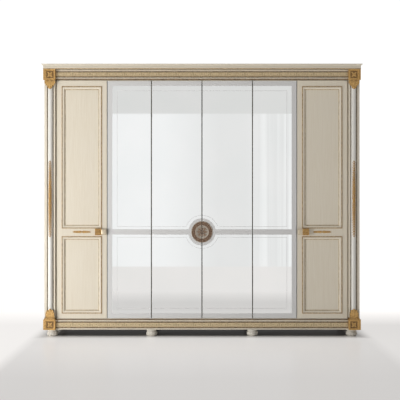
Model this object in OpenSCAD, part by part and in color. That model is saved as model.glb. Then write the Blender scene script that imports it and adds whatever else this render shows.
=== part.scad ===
// Six-door classical wardrobe: carcass, entablature, plinth and hinged doors.
// Millimetres. Origin at the middle of the base on the floor; +X right, -Y front, +Z up.

/* [Overall] */
// Width over the cornice lip
overall_w = 2966; // [2900:2:3000]
// Depth over the cornice lip
overall_d = 690; // [640:2:760]
// Height from the floor to the cornice top
overall_h = 2522; // [2500:2:2600]

/* [Carcass] */
// Thickness of side panels, partitions, top, bottom and shelves
board_t = 25; // [22:1:28]
// Thickness of the back panels
back_t = 8; // [6:1:10]
// Height of the middle of each shelf
shelf_z = 2022; // [1900:2:2100]
// Height of the hanging rails
rail_z = 1930; // [1800:2:1960]
// Radius of the hanging rails
rail_r = 12.5; // [10:0.5:15]

/* [Base] */
// Height of the bun feet
foot_h = 60; // [52:1:62]
// Largest radius of the bun feet
foot_r = 52; // [48:1:56]
// Top of the plinth board
plinth_top = 156; // [150:1:158]

/* [Entablature] */
// Underside of the frieze rail
frieze_z = 2378; // [2370:1:2382]
// Height of the cornice
cornice_h = 48; // [44:1:60]
// How far the cornice lip stands out from its foot
cornice_lip = 12; // [8:1:14]
// Height of the frieze key band
frieze_band_h = 36; // [32:1:40]
// Height of the plinth key band
plinth_band_h = 40; // [34:1:42]

/* [Corners] */
// Width of the gilded corner blocks
block_w = 112; // [104:1:114]
// Radius of the half-round columns
column_r = 23; // [20:0.5:25]

/* [Doors] */
// Width taken by each framed side door, gap included
side_door_w = 470; // [460:1:480]
// Width taken by each outer mirror door, gap included
outer_mirror_w = 413; // [400:1:420]
// Width taken by each centre mirror door, gap included
centre_mirror_w = 470; // [460:1:480]
// Door thickness
door_t = 26; // [24:1:30]
// Gap between doors and around them
door_gap = 4; // [4:0.5:5]
// Visible width of the side door stiles
stile_w = 45; // [40:1:50]
// Width of the bolection mouldings
moulding_w = 33; // [28:1:36]
// Radius of the medallion on the centre doors
medallion_r = 100; // [90:1:105]

/* [Hinges] */
// Radius of the pivot pins
pin_r = 3; // [2.5:0.5:3.5]
// Radial clearance of the pins in their bores
pin_clearance = 0.05; // [0.02:0.01:0.1]

/* [Hidden] */

$fn = 64;
cream = "#ddd3bd";
gold = "#b88a45";
pale_gold = "#c9b58c";
mirror_blue = "#d3dade";
steel = "#b7b7b4";
inside = "#cbbd9f";

// Depth planes, front to back
half_w = overall_w / 2;
half_d = overall_d / 2;
carcass_front = -half_d + 89;
door_back = carcass_front - 2;
door_front = door_back - door_t;
rail_front = door_front - 16;
block_front = -half_d + 15;
cornice_foot_front = -half_d + cornice_lip;
cornice_inner = 83;
column_apex = rail_front - 18;
back_inner = half_d - back_t;

// Width planes
side_out = half_w - 23;
side_in = side_out - board_t;
block_out = half_w - 13;
block_in = block_out - block_w;
pilaster_out = side_out + 3;
pilaster_in = block_in + 5;
column_x = (block_in + block_out) / 2 - 6;
partition_x = centre_mirror_w + 0.5;
half_door = door_gap / 2;
opening_half = centre_mirror_w + outer_mirror_w + side_door_w;

// Height planes
cornice_z = overall_h - cornice_h;
bottom_z = plinth_top - 6;
floor_top = bottom_z + board_t;
ceiling_z = cornice_z - board_t;
door_z = plinth_top + door_gap;
door_top = frieze_z - door_gap;
door_h = door_top - door_z;
base_block_top = 156;
base_moulding_top = 171;
palmette_top = 257;
leaf_bottom = 2287;
mid_z = 966;

// Side door panels: heights of the moulded openings
lower_open = [207, 926];
upper_open = [998, 2321];
panel_front = door_front + 12;
panel_t = 12;
moulding_proud = 8;

// Mirror doors
glass_t = 5;
edge_lip = 4;
glass_inset = 1;
medallion_t = 6;

// Pivots
axis_inset = 4;
axis_y = door_front + 4;
plate_t = 3;
plate_l = 36;
pin_l = 11;
socket_t = 8;
socket_half = 12;

// Key bands
band_t = 4;
band_sunk = 3;
frieze_band_z = 2411;
plinth_band_z = 84;

module box(low, high) {
    translate(low) cube(high - low);
}

// Mirror image in X for the left-hand copy of a right-hand piece
module on_side(s) {
    if (s < 0) mirror([1, 0, 0]) children();
    else children();
}

// An outline of [y, z] points drawn out along X
module along_x(x0, x1, points) {
    translate([x0, 0, 0]) rotate([90, 0, 90]) linear_extrude(x1 - x0) polygon(points);
}

// Carcass

module side_panel(s) {
    on_side(s) box([side_in, carcass_front, foot_h], [side_out, half_d, cornice_z]);
}

module side_panel_left() {
    color(cream) side_panel(-1);
}

module side_panel_right() {
    color(cream) side_panel(1);
}

module partition(s) {
    on_side(s)
        box([partition_x - board_t / 2, carcass_front, floor_top],
            [partition_x + board_t / 2, back_inner, ceiling_z]);
}

module partition_left() {
    color(inside) partition(-1);
}

module partition_right() {
    color(inside) partition(1);
}

module top_panel() {
    color(inside) box([-side_in, carcass_front, ceiling_z], [side_in, back_inner, cornice_z]);
}

module bottom_panel() {
    color(inside) box([-side_in, carcass_front, bottom_z], [side_in, back_inner, floor_top]);
}

// The three bays between sides and partitions, as [left, right]
bays = [[-side_in, -partition_x - board_t / 2],
    [-partition_x + board_t / 2, partition_x - board_t / 2],
    [partition_x + board_t / 2, side_in]];

back_seam = 2;
back_edges = [-side_in, -partition_x, partition_x, side_in];

module back_panels() {
    color(inside)
        for (i = [0:2])
            box([back_edges[i] + back_seam, back_inner, foot_h],
                [back_edges[i + 1] - back_seam, half_d, cornice_z]);
}

stop_stile_in = opening_half - 14;
stop_stile_t = 18;

module stop_stiles() {
    color(cream)
        for (s = [-1, 1])
            on_side(s)
                box([stop_stile_in, carcass_front, floor_top],
                    [side_in, carcass_front + stop_stile_t, ceiling_z]);
}

// Plinth

cross_rail_w = 28;
long_rail_t = 25;

module plinth_cross_rails() {
    color(inside)
        for (x = [-side_in + cross_rail_w / 2, -partition_x, partition_x, side_in - cross_rail_w / 2])
            box([x - cross_rail_w / 2, carcass_front + long_rail_t, foot_h],
                [x + cross_rail_w / 2, back_inner - long_rail_t, bottom_z]);
}

module plinth_long_rails() {
    color(inside) {
        box([-side_in, carcass_front, foot_h], [side_in, carcass_front + long_rail_t, bottom_z]);
        box([-side_in, back_inner - long_rail_t, foot_h], [side_in, back_inner, bottom_z]);
    }
}

// A moulded rail: fillet, groove, band channel, groove, fillet, as [y, z] points from the bottom up
groove_w = 9;
groove_d = 5;

function rail_outline(z0, z1, band_z, band_h) = [
    [carcass_front, z0],
    [rail_front, z0],
    [rail_front, band_z - groove_w - 5],
    [rail_front + groove_d, band_z - groove_w - 3],
    [rail_front + groove_d, band_z - 5],
    [rail_front - 1, band_z - 3],
    [rail_front - 1, band_z],
    [rail_front - 1 + band_sunk, band_z],
    [rail_front - 1 + band_sunk, band_z + band_h],
    [rail_front - 1, band_z + band_h],
    [rail_front - 1, band_z + band_h + 3],
    [rail_front + groove_d, band_z + band_h + 5],
    [rail_front + groove_d, band_z + band_h + groove_w + 3],
    [rail_front, band_z + band_h + groove_w + 5],
    [rail_front, z1],
    [carcass_front, z1]];

module key_band(band_z, band_h) {
    y0 = rail_front - 1 + band_sunk - band_t;
    box([-block_in, y0, band_z], [block_in, y0 + band_t, band_z + band_h]);
}

module plinth_front() {
    color(cream) difference() {
        along_x(-block_in, block_in, rail_outline(foot_h, plinth_top, plinth_band_z, plinth_band_h));
        for (i = [0:len(sockets) - 1]) socket_plate(sockets[i], plinth_top - socket_t);
    }
}

module plinth_key_band() {
    color(pale_gold) key_band(plinth_band_z, plinth_band_h);
}

return_t = 8;

module plinth_returns() {
    color(cream)
        for (s = [-1, 1])
            on_side(s) {
                box([side_out, block_back, foot_h], [side_out + return_t, half_d, plinth_top - 16]);
                box([side_out, block_back, plinth_top - 16], [side_out + 4, half_d, plinth_top]);
            }
}

// Entablature

module frieze_rail() {
    color(cream) difference() {
        along_x(-block_in, block_in, rail_outline(frieze_z, cornice_z, frieze_band_z, frieze_band_h));
        for (i = [0:len(sockets) - 1]) socket_plate(sockets[i], frieze_z);
    }
}

module frieze_key_band() {
    color(pale_gold) key_band(frieze_band_z, frieze_band_h);
}

module frieze_returns() {
    color(cream)
        for (s = [-1, 1])
            on_side(s) {
                box([side_out, block_back, frieze_z + 16], [side_out + return_t, half_d, cornice_z]);
                box([side_out, block_back, frieze_z], [side_out + 4, half_d, frieze_z + 16]);
            }
}

// Cornice profile as [outward, up]: straight fascia, cove, lip
cove_steps = 6;
lip_h = 9;
cove_r = cornice_lip;

cornice_profile = concat(
    [[0, 0], [cornice_inner - cornice_lip, 0],
        [cornice_inner - cornice_lip, cornice_h - lip_h - cove_r]],
    [for (i = [1:cove_steps])
        let (a = 90 * i / cove_steps)
        [cornice_inner - cornice_lip + cove_r * (1 - cos(a)), cornice_h - lip_h - cove_r + cove_r * sin(a)]],
    [[cornice_inner, cornice_h], [0, cornice_h]]);

module cornice_front() {
    color(cream) intersection() {
        translate([-half_w, -half_d + cornice_inner, cornice_z])
            rotate([90, 0, 90])
                linear_extrude(overall_w) polygon([for (p = cornice_profile) [-p[0], p[1]]]);
        translate([0, 0, cornice_z])
            linear_extrude(cornice_h)
                polygon([[-half_w, -half_d], [half_w, -half_d],
                    [half_w - cornice_inner, -half_d + cornice_inner],
                    [-half_w + cornice_inner, -half_d + cornice_inner]]);
    }
}

module cornice_return() {
    intersection() {
        translate([half_w - cornice_inner, half_d, cornice_z])
            rotate([90, 0, 0]) linear_extrude(overall_d) polygon(cornice_profile);
        translate([0, 0, cornice_z])
            linear_extrude(cornice_h)
                polygon([[half_w, -half_d], [half_w, half_d], [half_w - cornice_inner, half_d],
                    [half_w - cornice_inner, -half_d + cornice_inner]]);
    }
}

module cornice_returns() {
    color(cream)
        for (s = [-1, 1]) on_side(s) cornice_return();
}

// Corners: pilaster, column, capital, base and garland

block_back = carcass_front;
channel_w = 8;
channel_d = 8;
channel_gap = 1;

module pilaster() {
    difference() {
        box([pilaster_in, rail_front, base_moulding_top], [pilaster_out, carcass_front, frieze_z - 2]);
        for (x = [column_x - column_r - channel_gap - channel_w, column_x + column_r + channel_gap])
            box([x, rail_front - 1, base_moulding_top - 1],
                [x + channel_w, rail_front + channel_d, frieze_z]);
    }
    intersection() {
        translate([column_x, column_apex + column_r, base_moulding_top])
            cylinder(h = frieze_z - 2 - base_moulding_top, r = column_r);
        box([pilaster_in, column_apex - 1, base_moulding_top],
            [pilaster_out, carcass_front - 20, frieze_z]);
    }
}

module pilaster_left() {
    color(cream) on_side(-1) pilaster();
}

module pilaster_right() {
    color(cream) pilaster();
}

// Square block with a recessed field and a four-lobed rosette
field_margin = 16;
field_d = 6;
lobe_r = 15;

module corner_block(z0, z1) {
    mid_x = (block_in + block_out) / 2;
    mid = (z0 + z1) / 2;
    lobe_off = (block_w / 2 - field_margin) / 2 - 1;
    difference() {
        box([block_in, block_front, z0], [block_out, block_back, z1]);
        box([block_in + field_margin, block_front - 1, z0 + field_margin],
            [block_out - field_margin, block_front + field_d, z1 - field_margin]);
    }
    for (a = [45:90:315])
        translate([mid_x + lobe_off * cos(a), block_front + field_d, mid + lobe_off * sin(a)])
            rotate([90, 0, 0]) cylinder(h = field_d - 2, r = lobe_r);
}

leaf_w = 92;
leaf_tip_w = 30;
leaf_t = 11;
palmette_w = 92;
base_inset = 8;

module capital() {
    corner_block(frieze_z - 2, cornice_z);
    translate([column_x, block_front + leaf_t, 0])
        rotate([90, 0, 0])
            linear_extrude(leaf_t)
                polygon([[-leaf_w / 2, frieze_z], [leaf_w / 2, frieze_z],
                    [leaf_w / 2 - 4, frieze_z - 30], [leaf_tip_w / 2 + 8, frieze_z - 56],
                    [leaf_tip_w / 2, leaf_bottom + 12], [0, leaf_bottom],
                    [-leaf_tip_w / 2, leaf_bottom + 12], [-leaf_tip_w / 2 - 8, frieze_z - 56],
                    [-leaf_w / 2 + 4, frieze_z - 30]]);
}

module capital_left() {
    color(gold) on_side(-1) capital();
}

module capital_right() {
    color(gold) capital();
}

module base() {
    corner_block(foot_h, base_block_top);
    box([block_in + base_inset, block_front + base_inset, base_block_top - 0.5],
        [block_out - base_inset, block_back, base_moulding_top]);
    translate([column_x, block_front + leaf_t, 0])
        rotate([90, 0, 0])
            linear_extrude(leaf_t)
                polygon([[-palmette_w / 2, base_moulding_top - 1], [palmette_w / 2, base_moulding_top - 1],
                    [palmette_w / 2 - 2, base_moulding_top + 24], [palmette_w / 2 - 20, base_moulding_top + 52],
                    [18, palmette_top - 12], [0, palmette_top], [-18, palmette_top - 12],
                    [-palmette_w / 2 + 20, base_moulding_top + 52], [-palmette_w / 2 + 2, base_moulding_top + 24]]);
}

module base_left() {
    color(gold) on_side(-1) base();
}

module base_right() {
    color(gold) base();
}

garland_z0 = 919;
garland_z1 = 1628;
garland_w = 36;
garland_t = 7;
garland_gap = 0.2;

// A tapering strip wrapped round the front of the column
module garland() {
    mid = 1258;
    intersection() {
        difference() {
            translate([column_x, column_apex + column_r, garland_z0])
                cylinder(h = garland_z1 - garland_z0, r = column_r + garland_t);
            translate([column_x, column_apex + column_r, garland_z0 - 1])
                cylinder(h = garland_z1 - garland_z0 + 2, r = column_r + garland_gap);
        }
        translate([column_x, column_apex + column_r / 2, 0])
            rotate([90, 0, 0])
                linear_extrude(column_r)
                    polygon([[0, garland_z0], [garland_w / 2 - 4, garland_z0 + 120],
                        [garland_w / 2, mid], [garland_w / 2 - 4, garland_z1 - 130], [0, garland_z1],
                        [-garland_w / 2 + 4, garland_z1 - 130], [-garland_w / 2, mid],
                        [-garland_w / 2 + 4, garland_z0 + 120]]);
    }
}

module garland_left() {
    color(gold) on_side(-1) garland();
}

module garland_right() {
    color(gold) garland();
}

// Feet

foot_x = [-side_in + 42, -partition_x + 2, partition_x - 2, side_in - 42];
front_foot_y = carcass_front - 6;
rear_foot_y = half_d - foot_r - 15;
foot_neck_r = foot_r - 6;

module foot() {
    rotate_extrude()
        polygon([[0, 0], [foot_r - 16, 0], [foot_r - 7, 4], [foot_r - 1, 13], [foot_r, 23],
            [foot_r - 2, 33], [foot_r - 7, 42], [foot_neck_r - 3, 46], [foot_neck_r - 2, 49],
            [foot_neck_r, 50], [foot_neck_r, foot_h], [0, foot_h]]);
}

module front_feet() {
    color(cream)
        for (x = foot_x) translate([x, front_foot_y, 0]) foot();
}

module rear_feet() {
    color(cream)
        for (x = foot_x) translate([x, rear_foot_y, 0]) foot();
}

// Fittings inside

shelf_front = carcass_front + 20;
shelf_gap = 1;
shelf_pin_r = 3;
shelf_pin_l = 12;
pin_y = [shelf_front + 50, back_inner - 60];

module shelves() {
    color(inside)
        for (b = bays)
            box([b[0] + shelf_gap, shelf_front, shelf_z - board_t / 2],
                [b[1] - shelf_gap, back_inner - shelf_gap, shelf_z + board_t / 2]);
}

module shelf_pins() {
    color(steel)
        for (b = bays, y = pin_y, e = [0, 1])
            translate([b[e] + (e == 0 ? 0 : -shelf_pin_l), y, shelf_z - board_t / 2 - shelf_pin_r])
                rotate([0, 90, 0]) cylinder(h = shelf_pin_l, r = shelf_pin_r, $fn = 32);
}

rail_y = 40;
rail_socket_l = 10;
rail_socket_r = 24;

module hanging_rails() {
    color(steel)
        for (b = bays)
            translate([b[0] + rail_socket_l - 4, rail_y, rail_z])
                rotate([0, 90, 0]) cylinder(h = b[1] - b[0] - 2 * (rail_socket_l - 4), r = rail_r);
}

module rail_sockets() {
    color(steel)
        for (b = bays, e = [0, 1])
            translate([b[e], rail_y, rail_z])
                rotate([0, e == 0 ? 90 : -90, 0])
                    difference() {
                        cylinder(h = rail_socket_l, r = rail_socket_r);
                        translate([0, 0, rail_socket_l - 4]) cylinder(h = 5, r = rail_r);
                    }
}

// Pivot plates. Each axis is [x, plate direction]: the door plate runs that way from the axis.
side_axis = opening_half - half_door - axis_inset - 1;
outer_axis = partition_x - 0.5 + half_door + axis_inset;
centre_axis = partition_x - 0.5 - half_door - axis_inset;

// Sockets as [left end, right end, list of axes]
sockets = [[-side_axis - 9, -side_axis + 24, [-side_axis]],
    [-outer_axis - 24, -centre_axis + 24, [-outer_axis, -centre_axis]],
    [centre_axis - 24, outer_axis + 24, [centre_axis, outer_axis]],
    [side_axis - 24, side_axis + 9, [side_axis]]];

module socket_plate(s, z) {
    box([s[0], axis_y - 10, z], [s[1], axis_y + socket_half, z + socket_t]);
}

module pivot_sockets() {
    color(steel)
        for (s = sockets, z = [plinth_top - socket_t, frieze_z])
            difference() {
                socket_plate(s, z);
                for (x = s[2])
                    translate([x, axis_y, z - 1]) cylinder(h = socket_t + 2, r = pin_r + pin_clearance);
            }
}

catch_w = 40;
catch_h = 46;
catch_d = 30;
catch_x = [-opening_half + side_door_w, -centre_mirror_w / 4, centre_mirror_w / 4, opening_half - side_door_w];

module push_catches() {
    color("#8a8a88")
        for (x = catch_x)
            box([x - catch_w / 2, carcass_front, frieze_z - catch_h / 2],
                [x + catch_w / 2, carcass_front + catch_d, frieze_z + catch_h / 2]);
}

// Doors. A span is [left edge, right edge] of the door itself.
left_span = [-opening_half + half_door + 1, -opening_half + side_door_w - half_door];
mirror_spans = [
    [-centre_mirror_w - outer_mirror_w + half_door, -centre_mirror_w - half_door],
    [-centre_mirror_w + half_door, -half_door],
    [half_door, centre_mirror_w - half_door],
    [centre_mirror_w + half_door, centre_mirror_w + outer_mirror_w - half_door]];

// The plate let into one end of a door at its hinge edge; dir is +1 when the door lies towards +X
module door_plate(edge, dir, z) {
    x0 = dir > 0 ? edge : edge - plate_l;
    box([x0, door_front + 0.5, z], [x0 + plate_l, door_back - 6, z + plate_t]);
}

module door_plates(edge, dir) {
    for (z = [door_z, door_top - plate_t]) door_plate(edge, dir, z);
}

module door_pivots(edge, dir) {
    axis_x = edge + dir * axis_inset;
    union() {
        door_plate(edge, dir, door_z);
        translate([axis_x, axis_y, door_z - pin_l]) cylinder(h = pin_l + 0.5, r = pin_r);
    }
    union() {
        door_plate(edge, dir, door_top - plate_t);
        translate([axis_x, axis_y, door_top - 0.5]) cylinder(h = pin_l + 0.5, r = pin_r);
    }
}

module opening_box(span, zs, y0, y1) {
    box([span[0] + stile_w, y0, zs[0]], [span[1] - stile_w, y1, zs[1]]);
}

module door_frame(span) {
    difference() {
        box([span[0], door_front, door_z], [span[1], door_back, door_top]);
        for (zs = [lower_open, upper_open]) opening_box(span, zs, door_front - 1, door_back + 1);
        door_plates(span[0], 1);
    }
}

module door_panels(span) {
    for (zs = [lower_open, upper_open]) opening_box(span, zs, panel_front, panel_front + panel_t);
}

// Bolection moulding round one field: outer bead, cove and inner bead in stepped section
module door_moulding(span, zs) {
    difference() {
        opening_box(span, zs, door_front - moulding_proud, panel_front);
        box([span[0] + stile_w + 12, door_front - moulding_proud - 1, zs[0] + 12],
            [span[1] - stile_w - 12, door_front, zs[1] - 12]);
        box([span[0] + stile_w + moulding_w, door_front - 1, zs[0] + moulding_w],
            [span[1] - stile_w - moulding_w, panel_front + 1, zs[1] - moulding_w]);
    }
}

module door_mouldings(span) {
    for (zs = [lower_open, upper_open]) door_moulding(span, zs);
}

applique_l = 175;
applique_h = 22;
applique_t = 8;

// Spindle: a long lens lying on the mid rail
module door_applique(span) {
    translate([(span[0] + span[1]) / 2, door_front, mid_z])
        rotate([90, 0, 0])
            linear_extrude(applique_t)
                polygon([[-applique_l / 2, 0], [-applique_l / 4, applique_h / 2 - 3], [0, applique_h / 2],
                    [applique_l / 4, applique_h / 2 - 3], [applique_l / 2, 0],
                    [applique_l / 4, -applique_h / 2 + 3], [0, -applique_h / 2],
                    [-applique_l / 4, -applique_h / 2 + 3]]);
}

handle_w = 62;
handle_h = 60;
handle_block_t = 14;
handle_out = 34;
grip_t = 8;
grip_reach = 44;
handle_inset = 47;

// Square block on the rail, with a grip plate standing off over the stile towards the free edge
module door_handle(span) {
    x1 = span[1] - handle_inset;
    box([x1 - handle_w, door_front - handle_block_t, mid_z - handle_h / 2],
        [x1, door_front, mid_z + handle_h / 2]);
    box([x1 - handle_w + 12, door_front - handle_out + grip_t - 1, mid_z - handle_h / 2 + 4],
        [x1 - 12, door_front - handle_block_t + 1, mid_z + handle_h / 2 - 4]);
    box([x1 - handle_w + 12, door_front - handle_out, mid_z - handle_h / 2 + 2],
        [x1 + grip_reach, door_front - handle_out + grip_t, mid_z + handle_h / 2 - 2]);
}

// The right-hand door is the left-hand one reflected
module left_door_frame() {
    color(cream) door_frame(left_span);
}

module left_door_panels() {
    color(cream) door_panels(left_span);
}

module left_door_mouldings() {
    color(pale_gold) door_mouldings(left_span);
}

module left_door_applique() {
    color(gold) door_applique(left_span);
}

module left_door_handle() {
    color(gold) door_handle(left_span);
}

module left_door_pivots() {
    color(steel) door_pivots(left_span[0], 1);
}

module right_door_frame() {
    color(cream) on_side(-1) door_frame(left_span);
}

module right_door_panels() {
    color(cream) on_side(-1) door_panels(left_span);
}

module right_door_mouldings() {
    color(pale_gold) on_side(-1) door_mouldings(left_span);
}

module right_door_applique() {
    color(gold) on_side(-1) door_applique(left_span);
}

module right_door_handle() {
    color(gold) on_side(-1) door_handle(left_span);
}

module right_door_pivots() {
    color(steel) on_side(-1) door_pivots(left_span[0], 1);
}

// Mirror doors, numbered from the left. Odd ones hinge at their right edge, even ones at their left.
function hinge_edge(i) = i % 2 == 1 ? mirror_spans[i - 1][1] : mirror_spans[i - 1][0];
function hinge_dir(i) = i % 2 == 1 ? -1 : 1;

module mirror_board(i) {
    span = mirror_spans[i - 1];
    difference() {
        union() {
            box([span[0], door_front + glass_t, door_z], [span[1], door_back, door_top]);
            for (z = [door_z, door_top - edge_lip])
                box([span[0], door_front, z], [span[1], door_front + glass_t + 1, z + edge_lip]);
        }
        door_plates(hinge_edge(i), hinge_dir(i));
    }
}

module mirror_glass(i) {
    span = mirror_spans[i - 1];
    box([span[0] + glass_inset, door_front, door_z + edge_lip],
        [span[1] - glass_inset, door_front + glass_t, door_top - edge_lip]);
}

module mirror_pivots(i) {
    door_pivots(hinge_edge(i), hinge_dir(i));
}

// Half of the round medallion, clipped just inside its own door
module medallion_half(s) {
    intersection() {
        translate([0, door_front, mid_z])
            rotate([90, 0, 0]) cylinder(h = medallion_t, r = medallion_r);
        on_side(s)
            box([half_door + glass_inset, door_front - medallion_t, mid_z - medallion_r],
                [half_door + medallion_r, door_front, mid_z + medallion_r]);
    }
}

module mirror_1_board() {
    color(cream) mirror_board(1);
}

module mirror_1_glass() {
    color(mirror_blue) mirror_glass(1);
}

module mirror_1_pivots() {
    color(steel) mirror_pivots(1);
}

module mirror_2_board() {
    color(cream) mirror_board(2);
}

module mirror_2_glass() {
    color(mirror_blue) mirror_glass(2);
}

module mirror_2_pivots() {
    color(steel) mirror_pivots(2);
}

module medallion_left() {
    color("#8c7355") medallion_half(-1);
}

module mirror_3_board() {
    color(cream) mirror_board(3);
}

module mirror_3_glass() {
    color(mirror_blue) mirror_glass(3);
}

module mirror_3_pivots() {
    color(steel) mirror_pivots(3);
}

module medallion_right() {
    color("#8c7355") medallion_half(1);
}

module mirror_4_board() {
    color(cream) mirror_board(4);
}

module mirror_4_glass() {
    color(mirror_blue) mirror_glass(4);
}

module mirror_4_pivots() {
    color(steel) mirror_pivots(4);
}

side_panel_left();
side_panel_right();
partition_left();
partition_right();
top_panel();
bottom_panel();
back_panels();
stop_stiles();
plinth_cross_rails();
plinth_long_rails();
plinth_front();
plinth_returns();
plinth_key_band();
frieze_rail();
frieze_returns();
frieze_key_band();
cornice_front();
cornice_returns();
pilaster_left();
pilaster_right();
capital_left();
capital_right();
base_left();
base_right();
garland_left();
garland_right();
front_feet();
rear_feet();
shelves();
shelf_pins();
hanging_rails();
rail_sockets();
pivot_sockets();
push_catches();
left_door_frame();
left_door_panels();
left_door_mouldings();
left_door_applique();
left_door_handle();
left_door_pivots();
right_door_frame();
right_door_panels();
right_door_mouldings();
right_door_applique();
right_door_handle();
right_door_pivots();
mirror_1_board();
mirror_1_glass();
mirror_1_pivots();
mirror_2_board();
mirror_2_glass();
mirror_2_pivots();
medallion_left();
mirror_3_board();
mirror_3_glass();
mirror_3_pivots();
medallion_right();
mirror_4_board();
mirror_4_glass();
mirror_4_pivots();
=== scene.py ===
import math

import bmesh
import bpy
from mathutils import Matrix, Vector


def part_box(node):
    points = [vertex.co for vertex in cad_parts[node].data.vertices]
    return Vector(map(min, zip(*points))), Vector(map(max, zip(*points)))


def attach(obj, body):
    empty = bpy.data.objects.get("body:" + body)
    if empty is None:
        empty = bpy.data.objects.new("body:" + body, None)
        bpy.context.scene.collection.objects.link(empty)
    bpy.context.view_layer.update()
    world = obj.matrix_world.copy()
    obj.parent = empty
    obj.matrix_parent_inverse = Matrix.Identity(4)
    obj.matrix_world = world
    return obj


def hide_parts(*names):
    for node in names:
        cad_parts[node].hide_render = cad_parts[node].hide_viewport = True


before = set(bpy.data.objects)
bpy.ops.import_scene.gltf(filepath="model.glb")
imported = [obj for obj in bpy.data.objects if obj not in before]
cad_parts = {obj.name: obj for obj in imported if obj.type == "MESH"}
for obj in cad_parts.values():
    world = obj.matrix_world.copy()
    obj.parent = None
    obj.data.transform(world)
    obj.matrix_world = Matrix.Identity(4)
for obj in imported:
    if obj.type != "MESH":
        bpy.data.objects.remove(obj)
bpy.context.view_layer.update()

MM = 0.001


# ---------------------------------------------------------------- camera, stage and light

VIEW_DISTANCE = 8.0
VIEW_WIDTH = 3.72
VIEW_HEIGHT = 1.263
VIEW_SHIFT_X = -0.0185
SENSOR = 36.0


def add_camera():
    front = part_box("left_door_frame")[0].y
    data = bpy.data.cameras.new("camera")
    data.sensor_width = SENSOR
    data.lens = SENSOR * VIEW_DISTANCE / VIEW_WIDTH
    data.clip_end = 200
    camera = bpy.data.objects.new("camera", data)
    camera.location = (VIEW_SHIFT_X, front - VIEW_DISTANCE, VIEW_HEIGHT)
    camera.rotation_euler = (math.pi / 2, 0, 0)
    bpy.context.scene.collection.objects.link(camera)
    bpy.context.scene.camera = camera


def link(obj):
    bpy.context.scene.collection.objects.link(obj)
    return obj


def quad(name, corners):
    mesh = bpy.data.meshes.new(name)
    mesh.from_pydata(corners, [], [(0, 1, 2, 3)])
    return link(bpy.data.objects.new(name, mesh))


def emitter(tree, colour, strength, kind="ShaderNodeEmission"):
    node = tree.nodes.new(kind)
    node.inputs["Color"].default_value = (*colour, 1)
    node.inputs["Strength"].default_value = strength
    return node.outputs[0]


def mix_shaders(tree, factor, first, second):
    mix = tree.nodes.new("ShaderNodeMixShader")
    for socket, source in zip(mix.inputs, (factor, first, second)):
        tree.links.new(source, socket)
    return mix.outputs[0]


def emission_material(name, colour, strength):
    material = bpy.data.materials.new(name)
    material.use_nodes = True
    tree = material.node_tree
    tree.nodes.clear()
    out = tree.nodes.new("ShaderNodeOutputMaterial")
    tree.links.new(emitter(tree, colour, strength), out.inputs[0])
    return material


ROOM_DEPTH = 8.6
ROOM_HEIGHT = 2.9
ROOM_HALF = 9.0


def reflection_card(name, corners, material):
    """A plain pale wall or ceiling in front of the mirrors, drawn as a card that glows. Only reflections
    see it.
    """
    card = quad(name, corners)
    card.data.materials.append(material)
    for ray in ("camera", "diffuse", "shadow", "transmission"):
        setattr(card, "visible_" + ray, False)


WALL_BRIGHT = (0.925, 0.93, 0.93)
WALL_DIM = (0.815, 0.815, 0.81)
WALL_FOLD = (0.93, 0.935, 0.93)


def object_axes(tree):
    """X, Y and Z in the object's own space."""
    coords = tree.nodes.new("ShaderNodeTexCoord")
    split = tree.nodes.new("ShaderNodeSeparateXYZ")
    tree.links.new(coords.outputs["Object"], split.inputs[0])
    return split.outputs


def wall_material():
    """Emission that falls off from left to right, with faint upright folds on the right."""
    material = emission_material("studio_wall", WALL_BRIGHT, 1.0)
    tree = material.node_tree
    across = object_axes(tree)["X"]
    colour = blend_colour(tree, ramp(tree, across, 0, 1, -0.7, 0.35), WALL_BRIGHT, WALL_DIM)
    folds = ramp(tree, grain(tree, (1, 1, 0.01), 9, 2), 0, 1, 0.42, 0.62)
    edge = ramp(tree, across, 0, 1, 0.85, 1.3)
    colour = blend_colour(tree, math_node(tree, "MULTIPLY", folds, edge), colour, WALL_FOLD)
    tree.links.new(colour, tree.nodes["Emission"].inputs["Color"])
    return material


def add_room():
    y = -ROOM_DEPTH
    w = ROOM_HALF
    h = ROOM_HEIGHT
    reflection_card("studio_wall", [(-w, y, 0), (w, y, 0), (w, y, h), (-w, y, h)], wall_material())
    reflection_card("studio_ceiling", [(-w, y, h), (w, y, h), (w, 0.5, h), (-w, 0.5, h)],
                    emission_material("studio_ceiling", (0.97, 0.97, 0.955), 0.76))


FLOOR_HALF = 60.0
# The armoire's footprint as half width and half depth
SHADE_HALF = (1.47, 0.34)
GLOW_COLOUR = (1.0, 0.975, 0.955)
# Glowing zones of the floor that paint its light and shade, each laid over the one before: the axis it
# follows (away is the distance from the footprint), its share where the fade starts and ends, the places of
# those two, and its glow
FLOOR_ZONES = (
    ("away", 0.72, 0, -0.12, -0.03, 0.02),  # painted shade under the armoire
    ("away", 0, 0.6, -0.05, 0.1, 0.93),     # pale all round it, past a painted soft shade at its edge
    ("depth", 0.65, 0, -2.2, -0.95, 0.62),  # a little duller before it
    ("side", 0.82, 0, -1.6, -1.48, 0.93),   # painted light, brighter on its left
    ("side", 0, 0.45, 1.47, 1.6, 0.85),     # and on its right
    ("depth", 0, 1, 0.4, 1.5, 1.05),        # white behind, like the backdrop
    ("depth", 0, 1, -2.9, -4.2, 0.84),      # evenly pale far ahead, where only the mirrors show it
)


def math_node(tree, operation, *values):
    node = tree.nodes.new("ShaderNodeMath")
    node.operation = operation
    for socket, value in zip(node.inputs, values):
        if isinstance(value, float):
            socket.default_value = value
        else:
            tree.links.new(value, socket)
    return node.outputs[0]


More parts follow.
